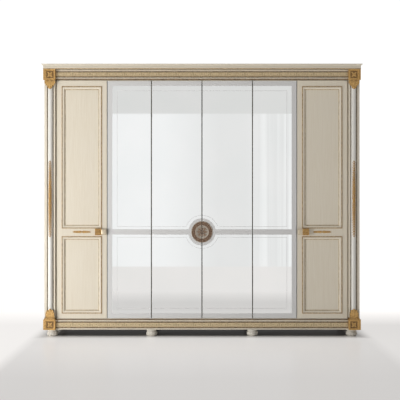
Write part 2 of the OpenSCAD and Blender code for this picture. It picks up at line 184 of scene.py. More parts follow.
def add_floor():
    """Pale, slightly polished floor that melts into the white backdrop behind the armoire. Its glowing
    zones paint shade under and round the armoire and light on either side of it.
    """
    f = FLOOR_HALF
    floor = quad("floor", [(-f, -f, 0), (f, -f, 0), (f, f, 0), (-f, f, 0)])
    material, tree, shader = new_material("pale_floor_painted_light")
    shader.inputs["Roughness"].default_value = 0.22
    mix_colours(tree, shader, grain(tree, EVEN, 1.4, 2), (0.80, 0.79, 0.775), (0.83, 0.82, 0.81))
    axes = object_axes(tree)
    outside = [math_node(tree, "SUBTRACT", math_node(tree, "ABSOLUTE", axes[axis]), half)
               for axis, half in zip("XY", SHADE_HALF)]
    along = {"side": axes["X"], "depth": axes["Y"], "away": math_node(tree, "MAXIMUM", *outside)}
    shade = shader.outputs[0]
    for axis, share, end_share, start, end, glow in FLOOR_ZONES:
        fade = ramp(tree, along[axis], share, end_share, start, end)
        shade = mix_shaders(tree, fade, shade, emitter(tree, GLOW_COLOUR, glow))
    tree.links.new(shade, tree.nodes["Material Output"].inputs["Surface"])
    floor.data.materials.append(material)


def add_world():
    """White to the camera, a bright surround to reflections and a dimmer fill to everything else."""
    world = bpy.data.worlds.new("studio")
    bpy.context.scene.world = world
    world.use_nodes = True
    tree = world.node_tree
    tree.nodes.clear()
    path = tree.nodes.new("ShaderNodeLightPath")
    out = tree.nodes.new("ShaderNodeOutputWorld")
    shade = emitter(tree, (1.0, 0.96, 0.91), 0.05, "ShaderNodeBackground")
    for ray, strength in (("Is Glossy Ray", 0.45), ("Is Camera Ray", 1.05)):
        light = emitter(tree, (1, 1, 1), strength, "ShaderNodeBackground")
        shade = mix_shaders(tree, path.outputs[ray], shade, light)
    tree.links.new(shade, out.inputs[0])


def area_light(name, place, target, size, power, colour):
    data = bpy.data.lights.new(name, "AREA")
    data.shape = "RECTANGLE"
    data.size, data.size_y = size
    data.energy = power
    data.color = colour
    light = link(bpy.data.objects.new(name, data))
    light.location = place
    light.rotation_euler = (Vector(target) - Vector(place)).to_track_quat("-Z", "Y").to_euler()
    return light


def add_lights():
    """A low soft key on the left, and two dim panels overhead for the top and for the floor."""
    area_light("key_left", place=(-4.2, -3.3, 0.5), target=(-0.9, -0.3, 0.2), size=(2.0, 1.1), power=152,
               colour=(1.0, 0.985, 0.975))
    area_light("fill_top", place=(-2.6, -2.5, 4.6), target=(-1.2, -0.6, 0), size=(4.0, 2.5), power=7,
               colour=(1.0, 0.99, 0.97))
    wash = area_light("floor_wash", place=(-1.9, -1.0, 4.0), target=(-1.9, -1.0, 0), size=(5.0, 1.6),
                      power=23, colour=(1.0, 0.995, 0.985))
    wash.data.spread = math.radians(110)


# ---------------------------------------------------------------- materials

def new_material(name):
    material = bpy.data.materials.new(name)
    material.use_nodes = True
    tree = material.node_tree
    return material, tree, tree.nodes["Principled BSDF"]


def grain(tree, stretch, scale, detail):
    """Noise in object space, stretched along one or two axes. Returns its factor output."""
    coords = tree.nodes.new("ShaderNodeTexCoord")
    mapping = tree.nodes.new("ShaderNodeMapping")
    mapping.inputs["Scale"].default_value = stretch
    noise = tree.nodes.new("ShaderNodeTexNoise")
    noise.inputs["Scale"].default_value = scale
    noise.inputs["Detail"].default_value = detail
    tree.links.new(coords.outputs["Object"], mapping.inputs["Vector"])
    tree.links.new(mapping.outputs["Vector"], noise.inputs["Vector"])
    return noise.outputs["Fac"]


def ramp(tree, source, low, high, low_at=0.3, high_at=0.7):
    """Maps a factor from low_at..high_at onto low..high, as a plain number."""
    node = tree.nodes.new("ShaderNodeMapRange")
    node.inputs["From Min"].default_value = low_at
    node.inputs["From Max"].default_value = high_at
    node.inputs["To Min"].default_value = low
    node.inputs["To Max"].default_value = high
    tree.links.new(source, node.inputs["Value"])
    return node.outputs["Result"]


def blend_colour(tree, factor, first, second):
    node = tree.nodes.new("ShaderNodeMix")
    node.data_type = "RGBA"
    tree.links.new(factor, node.inputs["Factor"])
    for socket, value in (("A", first), ("B", second)):
        target = [i for i in node.inputs if i.name == socket and i.type == "RGBA"][0]
        if isinstance(value, tuple):
            target.default_value = (*value, 1)
        else:
            tree.links.new(value, target)
    return [o for o in node.outputs if o.type == "RGBA"][0]


def mix_colours(tree, shader, factor, first, second, low_at=0.3, high_at=0.7):
    colour = blend_colour(tree, ramp(tree, factor, 0, 1, low_at, high_at), first, second)
    tree.links.new(colour, shader.inputs["Base Color"])
    return colour


def roughen(tree, shader, factor, low, high):
    tree.links.new(ramp(tree, factor, low, high), shader.inputs["Roughness"])


def bump(tree, shader, source, distance, strength):
    node = tree.nodes.new("ShaderNodeBump")
    node.inputs["Strength"].default_value = strength
    node.inputs["Distance"].default_value = distance
    tree.links.new(source, node.inputs["Height"])
    tree.links.new(node.outputs["Normal"], shader.inputs["Normal"])


def set_levels(shader, **levels):
    for socket, value in levels.items():
        shader.inputs[socket.replace("_", " ")].default_value = value


EVEN = (1, 1, 1)
STRETCH = {"x": (0.012, 1, 1), "y": (1, 0.012, 1), "z": (1, 1, 0.012)}


def lacquer(name, light, dark, along):
    """Brushed lacquer: fine streaks along the piece over a slow mottling."""
    material, tree, shader = new_material(name)
    streaks = grain(tree, STRETCH[along], 520, 3)
    cloud = grain(tree, EVEN, 2.6, 2)
    base = blend_colour(tree, ramp(tree, streaks, 0, 1, 0.34, 0.66), dark, light)
    tint = tuple(c * 0.955 for c in light)
    colour = blend_colour(tree, ramp(tree, cloud, 0, 0.55, 0.35, 0.7), base, tint)
    tree.links.new(colour, shader.inputs["Base Color"])
    roughen(tree, shader, streaks, 0.3, 0.42)
    set_levels(shader, Specular_IOR_Level=0.32, Coat_Weight=0.1, Coat_Roughness=0.18)
    bump(tree, shader, streaks, 0.00012, 0.6)
    return material


def grained(name, light, dark, noise, rough, relief=None, fade=0.2, **levels):
    """A coat whose colour, roughness and relief all follow one noise."""
    material, tree, shader = new_material(name)
    figure = grain(tree, *noise)
    mix_colours(tree, shader, figure, dark, light, 0.5 - fade, 0.5 + fade)
    roughen(tree, shader, figure, *rough)
    if relief:
        bump(tree, shader, figure, *relief)
    set_levels(shader, **levels)
    return material


def patina(name, light, dark):
    """Antiquing rubbed into a groove or bead: brown with worn golden patches."""
    return grained(name, light, dark, ((1, 1, 0.4), 90, 4), (0.62, 0.4), (0.0003, 0.5), 0.14, Metallic=0.15)


def board(name, light, dark, along):
    """Printed melamine board with a soft linear figure."""
    return grained(name, light, dark, (STRETCH[along], 160, 4), (0.42, 0.55), (0.0001, 0.4), 0.18)


def metal(name, light, dark, rough, along):
    return grained(name, light, dark, (STRETCH[along], 1500, 2), (rough - 0.05, rough + 0.08),
                   (0.00005, 0.4), Metallic=1.0)


def gilding(name, light, dark, shadow, metallic, rough):
    """Antiqued gold leaf. The mesh's cavity value says where the dark stays: antiquing wash together with
    painted shade in the hollows and under the carving.
    """
    material, tree, shader = new_material(name)
    leaf = grain(tree, EVEN, 140, 4)
    pits = grain(tree, EVEN, 900, 2)
    rubbed = blend_colour(tree, ramp(tree, leaf, 0, 1, 0.35, 0.65), dark, light)
    cavity = tree.nodes.new("ShaderNodeAttribute")
    cavity.attribute_name = "cavity"
    # The dark mask: antiquing wash together with painted shade in the hollows
    hollow_dark = math_node(tree, "ADD", cavity.outputs["Fac"], ramp(tree, leaf, -0.22, 0.22))
    wash = ramp(tree, hollow_dark, 0, 1, 0.25, 0.95)
    tree.links.new(blend_colour(tree, wash, rubbed, shadow), shader.inputs["Base Color"])
    set_levels(shader, Metallic=metallic)
    roughen(tree, shader, leaf, rough - 0.06, rough + 0.1)
    bump(tree, shader, pits, 0.0002, 0.6)
    return material


# Light and dark of each coat
CREAM = (0.80, 0.74, 0.62), (0.735, 0.662, 0.53)
# The cornice's cream, darker than the doors' cream: painted shade
CREAM_TOP_PAINTED_SHADE = (0.70, 0.645, 0.535), (0.64, 0.575, 0.455)
PEARL = (0.82, 0.815, 0.77), (0.76, 0.745, 0.685)
# The feet's cream, darker and greyer than the doors': painted shade
FOOT_PAINTED_SHADE = (0.70, 0.67, 0.60), (0.60, 0.565, 0.49)
BEAD = (0.57, 0.42, 0.235), (0.31, 0.20, 0.10)
THIN_BEAD = (0.64, 0.515, 0.335), (0.40, 0.29, 0.165)
# Dark brown of the rails' grooves and edge steps: antiqued patina with painted shade
GROOVE_AND_SHADE = (0.31, 0.215, 0.12), (0.13, 0.085, 0.043)
FLUTE = (0.42, 0.345, 0.25), (0.22, 0.165, 0.105)
BOARD = (0.70, 0.63, 0.50), (0.60, 0.525, 0.40)
# Near-black board for the plinth rails: painted shade under the armoire
SHADED_BOARD = (0.16, 0.13, 0.095), (0.10, 0.08, 0.055)
GLASS_EDGE = (0.10, 0.11, 0.105), (0.06, 0.066, 0.063)
STEEL = (0.66, 0.66, 0.65), (0.50, 0.50, 0.49)
SILVER = (0.96, 0.965, 0.965), (0.93, 0.945, 0.945)
SATIN = (0.72, 0.72, 0.715), (0.66, 0.66, 0.655)
PLASTIC = (0.47, 0.47, 0.455), (0.40, 0.40, 0.39)
# Leaf, worn leaf and the dark of its hollows, which is antiquing wash together with painted shade
GOLD = (0.69, 0.43, 0.15), (0.36, 0.20, 0.056), (0.08, 0.04, 0.013)
# The garland's gold, with a deeper dark and hollow colour than the other gilding: painted shade between the
# husks
HUSK_GOLD_AND_SHADE = (0.66, 0.39, 0.12), (0.26, 0.135, 0.036), (0.05, 0.024, 0.008)
PALE_GOLD = (0.80, 0.67, 0.44), (0.62, 0.485, 0.28), (0.21, 0.14, 0.07)
# The grip's greige stands where the handle casts its shadow on the stile: painted shadow
GRIP_PAINTED_SHADOW = (0.63, 0.55, 0.42), (0.50, 0.42, 0.30), (0.2, 0.15, 0.09)
DISC = (0.52, 0.475, 0.41), (0.42, 0.375, 0.31), (0.16, 0.115, 0.08)
LEAFAGE = (0.31, 0.20, 0.13), (0.19, 0.115, 0.07), (0.06, 0.036, 0.024)


def make_materials():
    return {
        "cream_z": lacquer("cream_lacquer_upright", *CREAM, "z"),
        "cream_x": lacquer("cream_lacquer_level", *CREAM, "x"),
        "cream_top_painted_shade": lacquer("cream_lacquer_cornice_painted_shade", *CREAM_TOP_PAINTED_SHADE, "x"),
        "cream_y": lacquer("cream_lacquer_deep", *CREAM, "y"),
        "pearl": lacquer("pearl_lacquer", *PEARL, "z"),
        "foot": lacquer("bun_foot_lacquer_painted_shade", *FOOT_PAINTED_SHADE, "z"),
        "bead": patina("antiqued_bead", *BEAD),
        "thin_bead": patina("antiqued_thin_bead", *THIN_BEAD),
        "groove": patina("antiqued_groove_and_painted_shade", *GROOVE_AND_SHADE),
        "soft_groove": patina("antiqued_flute", *FLUTE),
        "gold": gilding("antique_gold", *GOLD, metallic=0.3, rough=0.42),
        "husk_gold_and_shade": gilding("garland_gold_and_painted_shade", *HUSK_GOLD_AND_SHADE, metallic=0.3, rough=0.42),
        "pale_gold": gilding("pale_gilding", *PALE_GOLD, metallic=0.15, rough=0.45),
        "grip": gilding("greige_grip_painted_shadow", *GRIP_PAINTED_SHADOW, metallic=0.6, rough=0.38),
        "disc": gilding("medallion_ground", *DISC, metallic=0.1, rough=0.5),
        "leafage": gilding("medallion_leafage", *LEAFAGE, metallic=0.1, rough=0.45),
        "board_x": board("inner_board_level", *BOARD, "x"),
        "board_z": board("inner_board_upright", *BOARD, "z"),
        "shaded_board": board("plinth_board_painted_shade", *SHADED_BOARD, "x"),
        "glass_edge": metal("ground_glass_edge", *GLASS_EDGE, 0.5, "z"),
        "steel": metal("satin_steel", *STEEL, 0.3, "x"),
        "silver": grained("mirror_silver", *SILVER, (EVEN, 3.0, 2), (0.012, 0.03), Metallic=1.0),
        "satin": grained("etched_satin", *SATIN, (EVEN, 1400, 2), (0.5, 0.62), (0.00006, 0.5),
                         Specular_IOR_Level=0.08),
        "plastic": grained("catch_plastic", *PLASTIC, (EVEN, 1100, 2), (0.5, 0.65), (0.0001, 0.5)),
    }


MATERIALS = make_materials()


# ---------------------------------------------------------------- mesh tools

class Shape:
    """Vertices, faces, material numbers and cavity values of one piece, in the frame's metres."""

    def __init__(self):
        self.verts, self.faces, self.mats, self.cavity = [], [], [], []

    def add(self, verts, faces, mat=0, cavity=None):
        first = len(self.verts)
        self.verts += [tuple(v) for v in verts]
        self.faces += [tuple(first + i for i in face) for face in faces]
        self.mats += mat if isinstance(mat, list) else [mat] * len(faces)
        self.cavity += cavity or [0.0] * len(verts)


def make_object(name, shape, coats, smooth_angle=35):
    mesh = bpy.data.meshes.new(name)
    mesh.from_pydata(shape.verts, [], shape.faces)
    mesh.polygons.foreach_set("material_index", shape.mats)
    values = mesh.attributes.new("cavity", "FLOAT", "POINT")
    values.data.foreach_set("value", shape.cavity)
    for coat in coats:
        mesh.materials.append(MATERIALS[coat])
    fix = bmesh.new()
    fix.from_mesh(mesh)
    bmesh.ops.recalc_face_normals(fix, faces=fix.faces)
    fix.to_mesh(mesh)
    fix.free()
    mesh.shade_smooth()
    mesh.set_sharp_from_angle(angle=math.radians(smooth_angle))
    return link(bpy.data.objects.new(name, mesh))


def soften(obj, width, angle=35):
    bevel = obj.modifiers.new("soft_edges", "BEVEL")
    bevel.width = width
    bevel.segments = 2
    bevel.limit_method = "ANGLE"
    bevel.angle_limit = math.radians(angle)


def piece(name, shape, coats, body, replaces=(), edge=0, smooth_angle=35):
    obj = make_object(name, shape, coats, smooth_angle)
    if edge:
        soften(obj, edge)
    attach(obj, body)
    if replaces:
        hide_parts(*replaces)
    return obj


def ring_faces(rings, sides):
    """Quads between rings of points that follow each other in a list."""
    faces = []
    for low in range(0, (rings - 1) * sides, sides):
        high = low + sides
        faces += [(low + k, low + (k + 1) % sides, high + (k + 1) % sides, high + k) for k in range(sides)]
    return faces


def end_caps(rings, sides):
    """One face over the first ring and one over the last."""
    return [tuple(range(sides - 1, -1, -1)), tuple(range((rings - 1) * sides, rings * sides))]


def add_rings(shape, rings, sides, place, mat=0):
    """A closed tube through rings of points. place(ring, angle) gives a point and its cavity value."""
    spots = [place(ring, 2 * math.pi * k / sides) for ring in rings for k in range(sides)]
    faces = ring_faces(len(rings), sides) + end_caps(len(rings), sides)
    shape.add([spot[0] for spot in spots], faces, mat, [spot[1] for spot in spots])


def grid_faces(rows, columns):
    """Quads of an open grid of rows x columns cells."""
    row = columns + 1
    return [(i * row + k, i * row + k + 1, (i + 1) * row + k + 1, (i + 1) * row + k)
            for i in range(rows) for k in range(columns)]


def add_box(shape, low, high, cavity=0.0):
    x0, y0, z0 = low
    x1, y1, z1 = high
    verts = [(x0, y0, z0), (x1, y0, z0), (x1, y1, z0), (x0, y1, z0),
             (x0, y0, z1), (x1, y0, z1), (x1, y1, z1), (x0, y1, z1)]
    faces = [(0, 3, 2, 1), (4, 5, 6, 7), (0, 1, 5, 4), (1, 2, 6, 5), (2, 3, 7, 6), (3, 0, 4, 7)]
    shape.add(verts, faces, 0, [cavity] * 8)


def add_prism(shape, outline, y0, y1):
    """A flat outline of (x, z) points given a thickness along Y."""
    n = len(outline)
    verts = [(x, y0, z) for x, z in outline] + [(x, y1, z) for x, z in outline]
    faces = [tuple(range(n)), tuple(range(2 * n - 1, n - 1, -1))] + ring_faces(2, n)
    shape.add(verts, faces)


def add_ribbon(shape, path, width, y0, y1):
    """A strip of even width along an open path of (x, z) points, mitred at its corners."""
    left, right = [], []
    for i, point in enumerate(path):
        here = Vector(point)
        before = Vector(path[i - 1]) if i else None
        after = Vector(path[i + 1]) if i + 1 < len(path) else None
        d0 = (here - before).normalized() if before else (after - here).normalized()
        d1 = (after - here).normalized() if after else d0
        n0, n1 = Vector((-d0.y, d0.x)), Vector((-d1.y, d1.x))
        mitre = (n0 + n1).normalized()
        reach = width / 2 / max(mitre.dot(n0), 0.3)
        left.append(here + mitre * reach)
        right.append(here - mitre * reach)
    n = len(path)
    verts = [(p.x, y0, p.y) for p in left + right] + [(p.x, y1, p.y) for p in left + right]
    faces = []
    for i in range(n - 1):
        a, b, c, d = i, i + 1, n + i + 1, n + i
        faces += [(a, b, c, d), (2 * n + d, 2 * n + c, 2 * n + b, 2 * n + a),
                  (a, 2 * n + a, 2 * n + b, b), (d, c, 2 * n + c, 2 * n + d)]
    for end in (0, n - 1):
        faces.append((end, n + end, 3 * n + end, 2 * n + end))
    shape.add(verts, faces)


def add_ring_sweep(shape, rect, y_face, profile, mats):
    """A mitred frame. profile is a closed list of (inset, proud) points; mats has one number a side."""
    x0, z0, x1, z1 = rect
    verts = []
    for inset, proud in profile:
        y = y_face - proud
        verts += [(x0 + inset, y, z0 + inset), (x1 - inset, y, z0 + inset),
                  (x1 - inset, y, z1 - inset), (x0 + inset, y, z1 - inset)]
    n = len(profile)
    faces, numbers = [], []
    for i in range(n):
        j = (i + 1) % n
        for k in range(4):
            m = (k + 1) % 4
            faces.append((4 * i + k, 4 * i + m, 4 * j + m, 4 * j + k))
            numbers.append(mats[i])
    shape.add(verts, faces, numbers)


def add_run(shape, start, end, profile, mats, axis="x"):
    """A closed profile of points drawn out between two places along X or Z."""
    verts = []
    for place in (start, end):
        verts += [(place, a, b) if axis == "x" else (a, b, place) for a, b in profile]
    n = len(profile)
    shape.add(verts, ring_faces(2, n) + end_caps(2, n), mats + [0, 0])


def half_round(x0, x1, base, height, steps=6):
    """Points over a bead from x0 to x1 that stands height above base."""
    mid, half = (x0 + x1) / 2, (x1 - x0) / 2
    return [(mid - half * math.cos(math.pi * i / steps), base + height * math.sin(math.pi * i / steps))
            for i in range(steps + 1)]


def flat_warp(origin, across, along, out):
    """A warp that lays (across, along, out) lengths onto a flat face."""
    o, a, b, c = Vector(origin), Vector(across), Vector(along), Vector(out)
    return lambda x, y, z: o + a * x + b * y + c * z


def turned(warp, angle, dx=0.0, dy=0.0, dz=0.0):
    """The same warp with its own x and y turned by an angle about a shifted centre."""
    ca, sa = math.cos(angle), math.sin(angle)
    return lambda x, y, z: warp(dx + ca * x + sa * y, dy - sa * x + ca * y, dz + z)


# A carved leaf: how deep its lobes cut, its midrib's half width, and how far its edges drop
LOBE_DEPTH = 0.16
RIB_HALF = 0.2
EDGE_DROP = 0.72


def add_petal(shape, warp, length, width, height, curl=0.0, fold=0.3, nu=9, nv=8, mat=0, lobes=0, blunt=0.0,
              outline=None):
    """One carved leaf: pointed oval, crowned across, with a sunk midrib and a tip that can curl up."""
    verts, cavity = [], []
    for i in range(nu + 1):
        u = i / nu
        girth = math.sin(math.pi * min(1, 0.14 + 0.86 * u * (1 - 0.16 * blunt))) ** 0.75
        if outline:
            girth = outline(u)
        if lobes:
            girth *= 1 - LOBE_DEPTH * (0.5 + 0.5 * math.cos(2 * math.pi * lobes * u))
        half = max(width / 2 * girth, width * 0.02)
        body = height * (0.55 + 0.45 * math.sin(math.pi * min(1, u + 0.1))) + curl * u ** 3
        for j in range(nv + 1):
            v = 2 * j / nv - 1
            rib = math.exp(-(v / RIB_HALF) ** 2)
            z = body * (1 - EDGE_DROP * v ** 4) - fold * height * rib * (1 - 0.6 * u)
            verts.append(warp(half * v, length * u, max(z, height * 0.08)))
            # Cavity: dark along the sunk midrib, at the edges and at the base, for the wash and for painted
            # shade
            cavity.append(min(1.0, 0.75 * rib * (1 - u) + 0.7 * v ** 6 + 0.8 * math.exp(-u / 0.12)))
    row = nv + 1
    faces = grid_faces(nu, nv)
    # The drop down to the ground is fully dark: painted shade under the leaf, with the wash
    under = len(verts)
    base = Vector(warp(0, 0, 0))
    normal = (Vector(warp(0, 0, 1)) - base).normalized()
    for i in range(nu + 1):
        u = i / nu
        for j in (0, nv):
            top = verts[i * row + j]
            drop = (Vector(top) - Vector(warp(0, length * u, 0))).dot(normal)
            verts.append(Vector(top) - normal * (drop + height * 0.1))
            cavity.append(1.0)
    for i in range(nu):
        a, b = under + 2 * i, under + 2 * i + 2
        faces += [(i * row, (i + 1) * row, b, a), (i * row + nv, a + 1, b + 1, (i + 1) * row + nv),
                  (a, b, b + 1, a + 1)]
    faces.append(tuple(range(row - 1, -1, -1)) + (under, under + 1))
    last = nu * row
    faces.append(tuple(range(last, last + row)) + (under + 2 * nu + 1, under + 2 * nu))
    shape.add(verts, faces, mat, cavity)


def add_pair(shape, warp, lean, shift, start, length, width, height, curl):
    """The two side leaves of a husk."""
    for sx in (-1, 1):
        add_petal(shape, turned(warp, sx * lean, sx * shift, start), length, width, height, curl=curl,
                  nu=6, nv=5)


def add_bead(shape, warp, radius, height=None, mat=0, rings=5, sides=14):
    """A dome lying on the warp's face."""
    height = height or radius
    verts, cavity = [], []
    for i in range(rings):
        a = math.pi / 2 * i / rings
        for k in range(sides):
            t = 2 * math.pi * k / sides
            verts.append(warp(radius * math.cos(a) * math.cos(t), radius * math.cos(a) * math.sin(t),
                              height * math.sin(a)))
            # Darkest round the dome's foot: painted shade where it meets the ground, with the wash
            cavity.append(0.9 * (1 - i / rings) ** 3)
    verts.append(warp(0, 0, height))
    cavity.append(0.0)
    faces = ring_faces(rings, sides)
    top = rings * sides
    faces += [((rings - 1) * sides + k, (rings - 1) * sides + (k + 1) % sides, top) for k in range(sides)]
    faces.append(tuple(range(sides - 1, -1, -1)))
    shape.add(verts, faces, mat, cavity)


def add_scroll(shape, warp, radius, turns, thick, mat=0, hand=1, steps=30, sides=8):
    """A volute: a tapering half-sunk tube wound in a spiral."""
    def place(i, b):
        t = i / steps
        a = hand * 2 * math.pi * turns * t
        w = thick * (1 - 0.45 * t)
        r = radius * (1 - 0.82 * t) + w * math.cos(b)
        # The cavity value darkens the tube's side towards the ground: painted shade under the scroll, with
        # the wash
        return warp(r * math.sin(a), r * math.cos(a), w * 0.55 + w * math.sin(b)), 0.5 - 0.5 * math.sin(b)

    add_rings(shape, range(steps + 1), sides, place, mat)


# ---------------------------------------------------------------- entablature and plinth

def split_rows(rows):
    """Parts (a, b, material number) rows into points and material numbers."""
    return [row[:2] for row in rows], [row[2] for row in rows]


def rail_profile(y_face, y_back, z0, z1, band, grooves, recesses):
    """Cross-section of a moulded rail as (y, z) points from the bottom up, and a material number a side.

    band, grooves and recesses are (lower, upper) pairs: the band's heights, and the widths of the
    dark grooves beside it and of the dark steps at the rail's two edges. The grooves' dark is antiqued
    patina with painted shade; the steps' dark is painted shade of the gaps at the cornice and the doors.
    """
    depth = 7 * MM
    lip = 1 * MM
    crown = 2.5 * MM

    def fillet(za, zb):
        angles = [math.pi * i / 4 for i in range(5)]
        return [(y_face + crown * (1 - math.sin(a) ** 0.5), (za + zb) / 2 - (zb - za) / 2 * math.cos(a),
                 1 if a == angles[-1] else 0) for a in angles]

    low, high = band[0] - grooves[0], band[1] + grooves[1]
    rows = [(y_back, z0, 0)]
    if recesses[0]:
        rows += [(y_face + depth, z0, 1), (y_face + depth, z0 + recesses[0], 1)]
    rows += fillet(z0 + recesses[0], low)
    rows += [(y_face + y, z, 1) for y, z in ((depth, low), (depth, band[0] - lip), (2 * MM, band[0]),
                                             (2 * MM, band[1]), (depth, band[1] + lip), (depth, high))]
    rows += fillet(high, z1 - recesses[1])
    if recesses[1]:
        rows += [(y_face + depth, z1 - recesses[1], 1), (y_face + depth, z1, 0)]
    return split_rows(rows + [(y_back, z1, 0)])


def build_rail(name, node, band_node, grooves, recesses):
    low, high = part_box(node)
    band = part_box(band_node)
    heights = (band[0].z, band[1].z)
    points, mats = rail_profile(low.y + 1 * MM, high.y, low.z, high.z, heights, grooves, recesses)
    shape = Shape()
    add_run(shape, low.x, high.x, points, mats)
    piece(name, shape, ["cream_x", "groove"], "carcass", [node],
          smooth_angle=50)


KEY_HALF = 79 * MM
KEY_LINE = 4.4 * MM
KEY_BORDER = 2.4 * MM
# One key as (share of the half pitch, share of the height), wound inwards
KEY_TURNS = [(0.14, 0.0), (0.14, 1.0), (0.86, 1.0), (0.86, 0.3), (0.36, 0.3), (0.36, 0.66), (0.66, 0.66)]


def build_key_band(name, node):
    """Greek key in relief: pairs of keys facing each other across an upright bar."""
    low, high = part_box(node)
    ground = low.y + 2.2 * MM
    face = low.y - 0.4 * MM
    shape = Shape()
    # The sunk ground behind the keys is darkened: painted shade, with the wash
    add_box(shape, (low.x, ground, low.z), (high.x, high.y, high.z), 0.56)
    for z in (low.z, high.z - KEY_BORDER):
        add_box(shape, (low.x, face, z), (high.x, ground, z + KEY_BORDER))
    gap = KEY_BORDER + 2.2 * MM + KEY_LINE / 2
    base, height = low.z + gap, high.z - low.z - 2 * gap
    count = round((high.x - low.x) / KEY_HALF / 2) * 2
    step = (high.x - low.x) / count
    for i in range(count):
        left = low.x + i * step
        turns = [(u if i % 2 == 0 else 1 - u, v) for u, v in KEY_TURNS]
        add_ribbon(shape, [(left + u * step, base + v * height) for u, v in turns], KEY_LINE, face, ground)
        if i % 2:
            bar = [(left, low.z + KEY_BORDER), (left, high.z - KEY_BORDER)]
            add_ribbon(shape, bar, KEY_LINE, face, ground)
    piece(name, shape, ["pale_gold"], "carcass", [node], edge=0.5 * MM)


def cornice_points(depth, height):
    """(outward, up) points round the cornice: bead at the foot, straight fascia, cove and lip."""
    lip = 12 * MM
    bead, bead_proud = 7 * MM, 2 * MM
    cove, cove_foot = 11 * MM, height - 20 * MM
    flat = depth - lip
    fascia = flat - 1.5 * MM
    points = [(0, 0), (flat - bead_proud, 0)]
    points += [(flat - bead_proud + r, u) for u, r in half_round(0, bead, 0, bead_proud)]
    points += [(fascia, 7.6 * MM), (fascia, cove_foot)]
    for i in range(7):
        a = math.pi / 2 * i / 6
        points.append((fascia + cove * (1 - math.cos(a)), cove_foot + cove * math.sin(a)))
    points += [(depth - 1.2 * MM, height - 8 * MM), (depth, height - 6.5 * MM), (depth, height - 1.5 * MM),
               (depth - 1.5 * MM, height), (0, height)]
    return points


def build_cornice():
    low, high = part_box("cornice_front")
    depth = high.y - low.y
    points = cornice_points(depth, high.z - low.z)
    mats = [1 if 1 <= i <= 8 else 0 for i in range(len(points))] + [0, 0]
    faces = ring_faces(2, len(points)) + end_caps(2, len(points))
    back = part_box("cornice_returns")[1].y

    def mitre(side):
        return [(side * (high.x - depth + out), high.y - out, low.z + up) for out, up in points]

    front, sides = Shape(), Shape()
    front.add(mitre(-1) + mitre(1), faces, mats)
    for side in (-1, 1):
        sides.add(mitre(side) + [(x, back, z) for x, y, z in mitre(side)], faces, mats)
    # The cornice front takes the darker cornice cream, which is painted shade
    piece("cornice_front_moulding", front, ["cream_top_painted_shade", "bead"], "carcass",
          ["cornice_front"], smooth_angle=40)
    piece("cornice_return_mouldings", sides, ["cream_y", "bead"], "carcass",
          ["cornice_returns"], smooth_angle=40)


# ---------------------------------------------------------------- corners

def flipped(shape, side):
    """The same shape, mirrored in X for the left-hand side."""
    result = Shape()
    result.add([(side * x, y, z) for x, y, z in shape.verts], shape.faces, shape.mats, shape.cavity)
    return result


def middle_of(node):
    """Height of the middle of a node's box."""
    low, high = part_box(node)
    return (low.z + high.z) / 2


def side_word(side):
    return "left" if side < 0 else "right"


COLUMN_R = 22.5 * MM
OUTER_STRIP = 15 * MM


def column_middle():
    low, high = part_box("garland_right")
    return (low.x + high.x) / 2


def pilaster_profile(low, high):
    """(x, y) points of the pilaster's section on the right-hand side, with a material number a side."""
    face = low.y + 18 * MM
    mid = column_middle()
    channel = 9 * MM
    near, far = COLUMN_R + 1 * MM, COLUMN_R + 9 * MM
    chamfer = 1.5 * MM
    steps = 22
    rows = [(low.x, high.y, 0), (low.x, face + 2 * MM, 0), (low.x + chamfer, face, 0), (mid - far, face, 1),
            (mid - far, face + channel, 1), (mid - near, face + channel, 1)]
    for i in range(steps + 1):
        a = math.pi * i / steps
        rows.append((mid - COLUMN_R * math.cos(a), low.y + COLUMN_R - COLUMN_R * math.sin(a),
                     2 if i < steps else 1))
    rows += [(mid + near, face + channel, 1), (mid + far, face + channel, 1), (mid + far, face, 0),
             (high.x - chamfer, face, 0), (high.x, face + 2 * MM, 0), (high.x, high.y, 0)]
    return split_rows(rows)


def build_pilaster(side):
    node = "pilaster_" + side_word(side)
    low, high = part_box("pilaster_right")
    points, mats = pilaster_profile(low, high)
    shape = Shape()
    add_run(shape, low.z, high.z, [(side * x, y) for x, y in points], mats, axis="z")
    piece(node + "_shaft", shape, ["cream_z", "soft_groove", "pearl"],
          "carcass", [node], smooth_angle=35)


def block_frame(shape, rect, y_front, y_back):
    """A corner block: plain strip on the outer side, stepped raised frame and a sunk field."""
    x0, z0, x1, z1 = rect
    step = 9 * MM
    field = 16 * MM
    # The block's back is darkened a little and its sunk field more, while the outer strip stays light:
    # painted shade, with the wash
    add_box(shape, (x0, y_front + step, z0), (x1, y_back, z1), 0.3)
    x2 = x1 - OUTER_STRIP
    add_box(shape, (x2 + 1.5 * MM, y_front + 2 * MM, z0 + 1 * MM),
            (x1 - 0.5 * MM, y_front + step, z1 - 1 * MM))
    border = [(0, 0), (0, step - 1.5 * MM), (1.5 * MM, step), (8 * MM, step), (9 * MM, step - 3 * MM),
              (11.5 * MM, step - 3 * MM)]
    border += half_round(11.5 * MM, 15.5 * MM, step - 3 * MM, 1.8 * MM, 4)[1:]
    border += [(16.5 * MM, 2.5 * MM), (16.5 * MM, 0)]
    add_ring_sweep(shape, (x0, z0, x2, z1), y_front + step, border, [0] * len(border))
    add_box(shape, (x0 + field, y_front + step - 2.5 * MM, z0 + field),
            (x2 - field, y_front + step + 1 * MM, z1 - field), 0.75)


def add_rosette(shape, warp, radius, height):
    """Four broad leaves on the diagonals, four slim ones between, and a centre boss."""
    for k in range(8):
        reach, wide, proud, lobes = (1.25, 0.72, 1.0, 2) if k % 2 == 0 else (0.82, 0.34, 0.7, 0)
        add_petal(shape, turned(warp, (k + 1) * math.pi / 4), radius * reach, radius * wide, height * proud,
                  curl=height * 0.25, fold=0.45, nu=7, nv=6, lobes=lobes)
    add_bead(shape, turned(warp, 0, 0, 0, height * 0.35), radius * 0.2, height * 0.9)


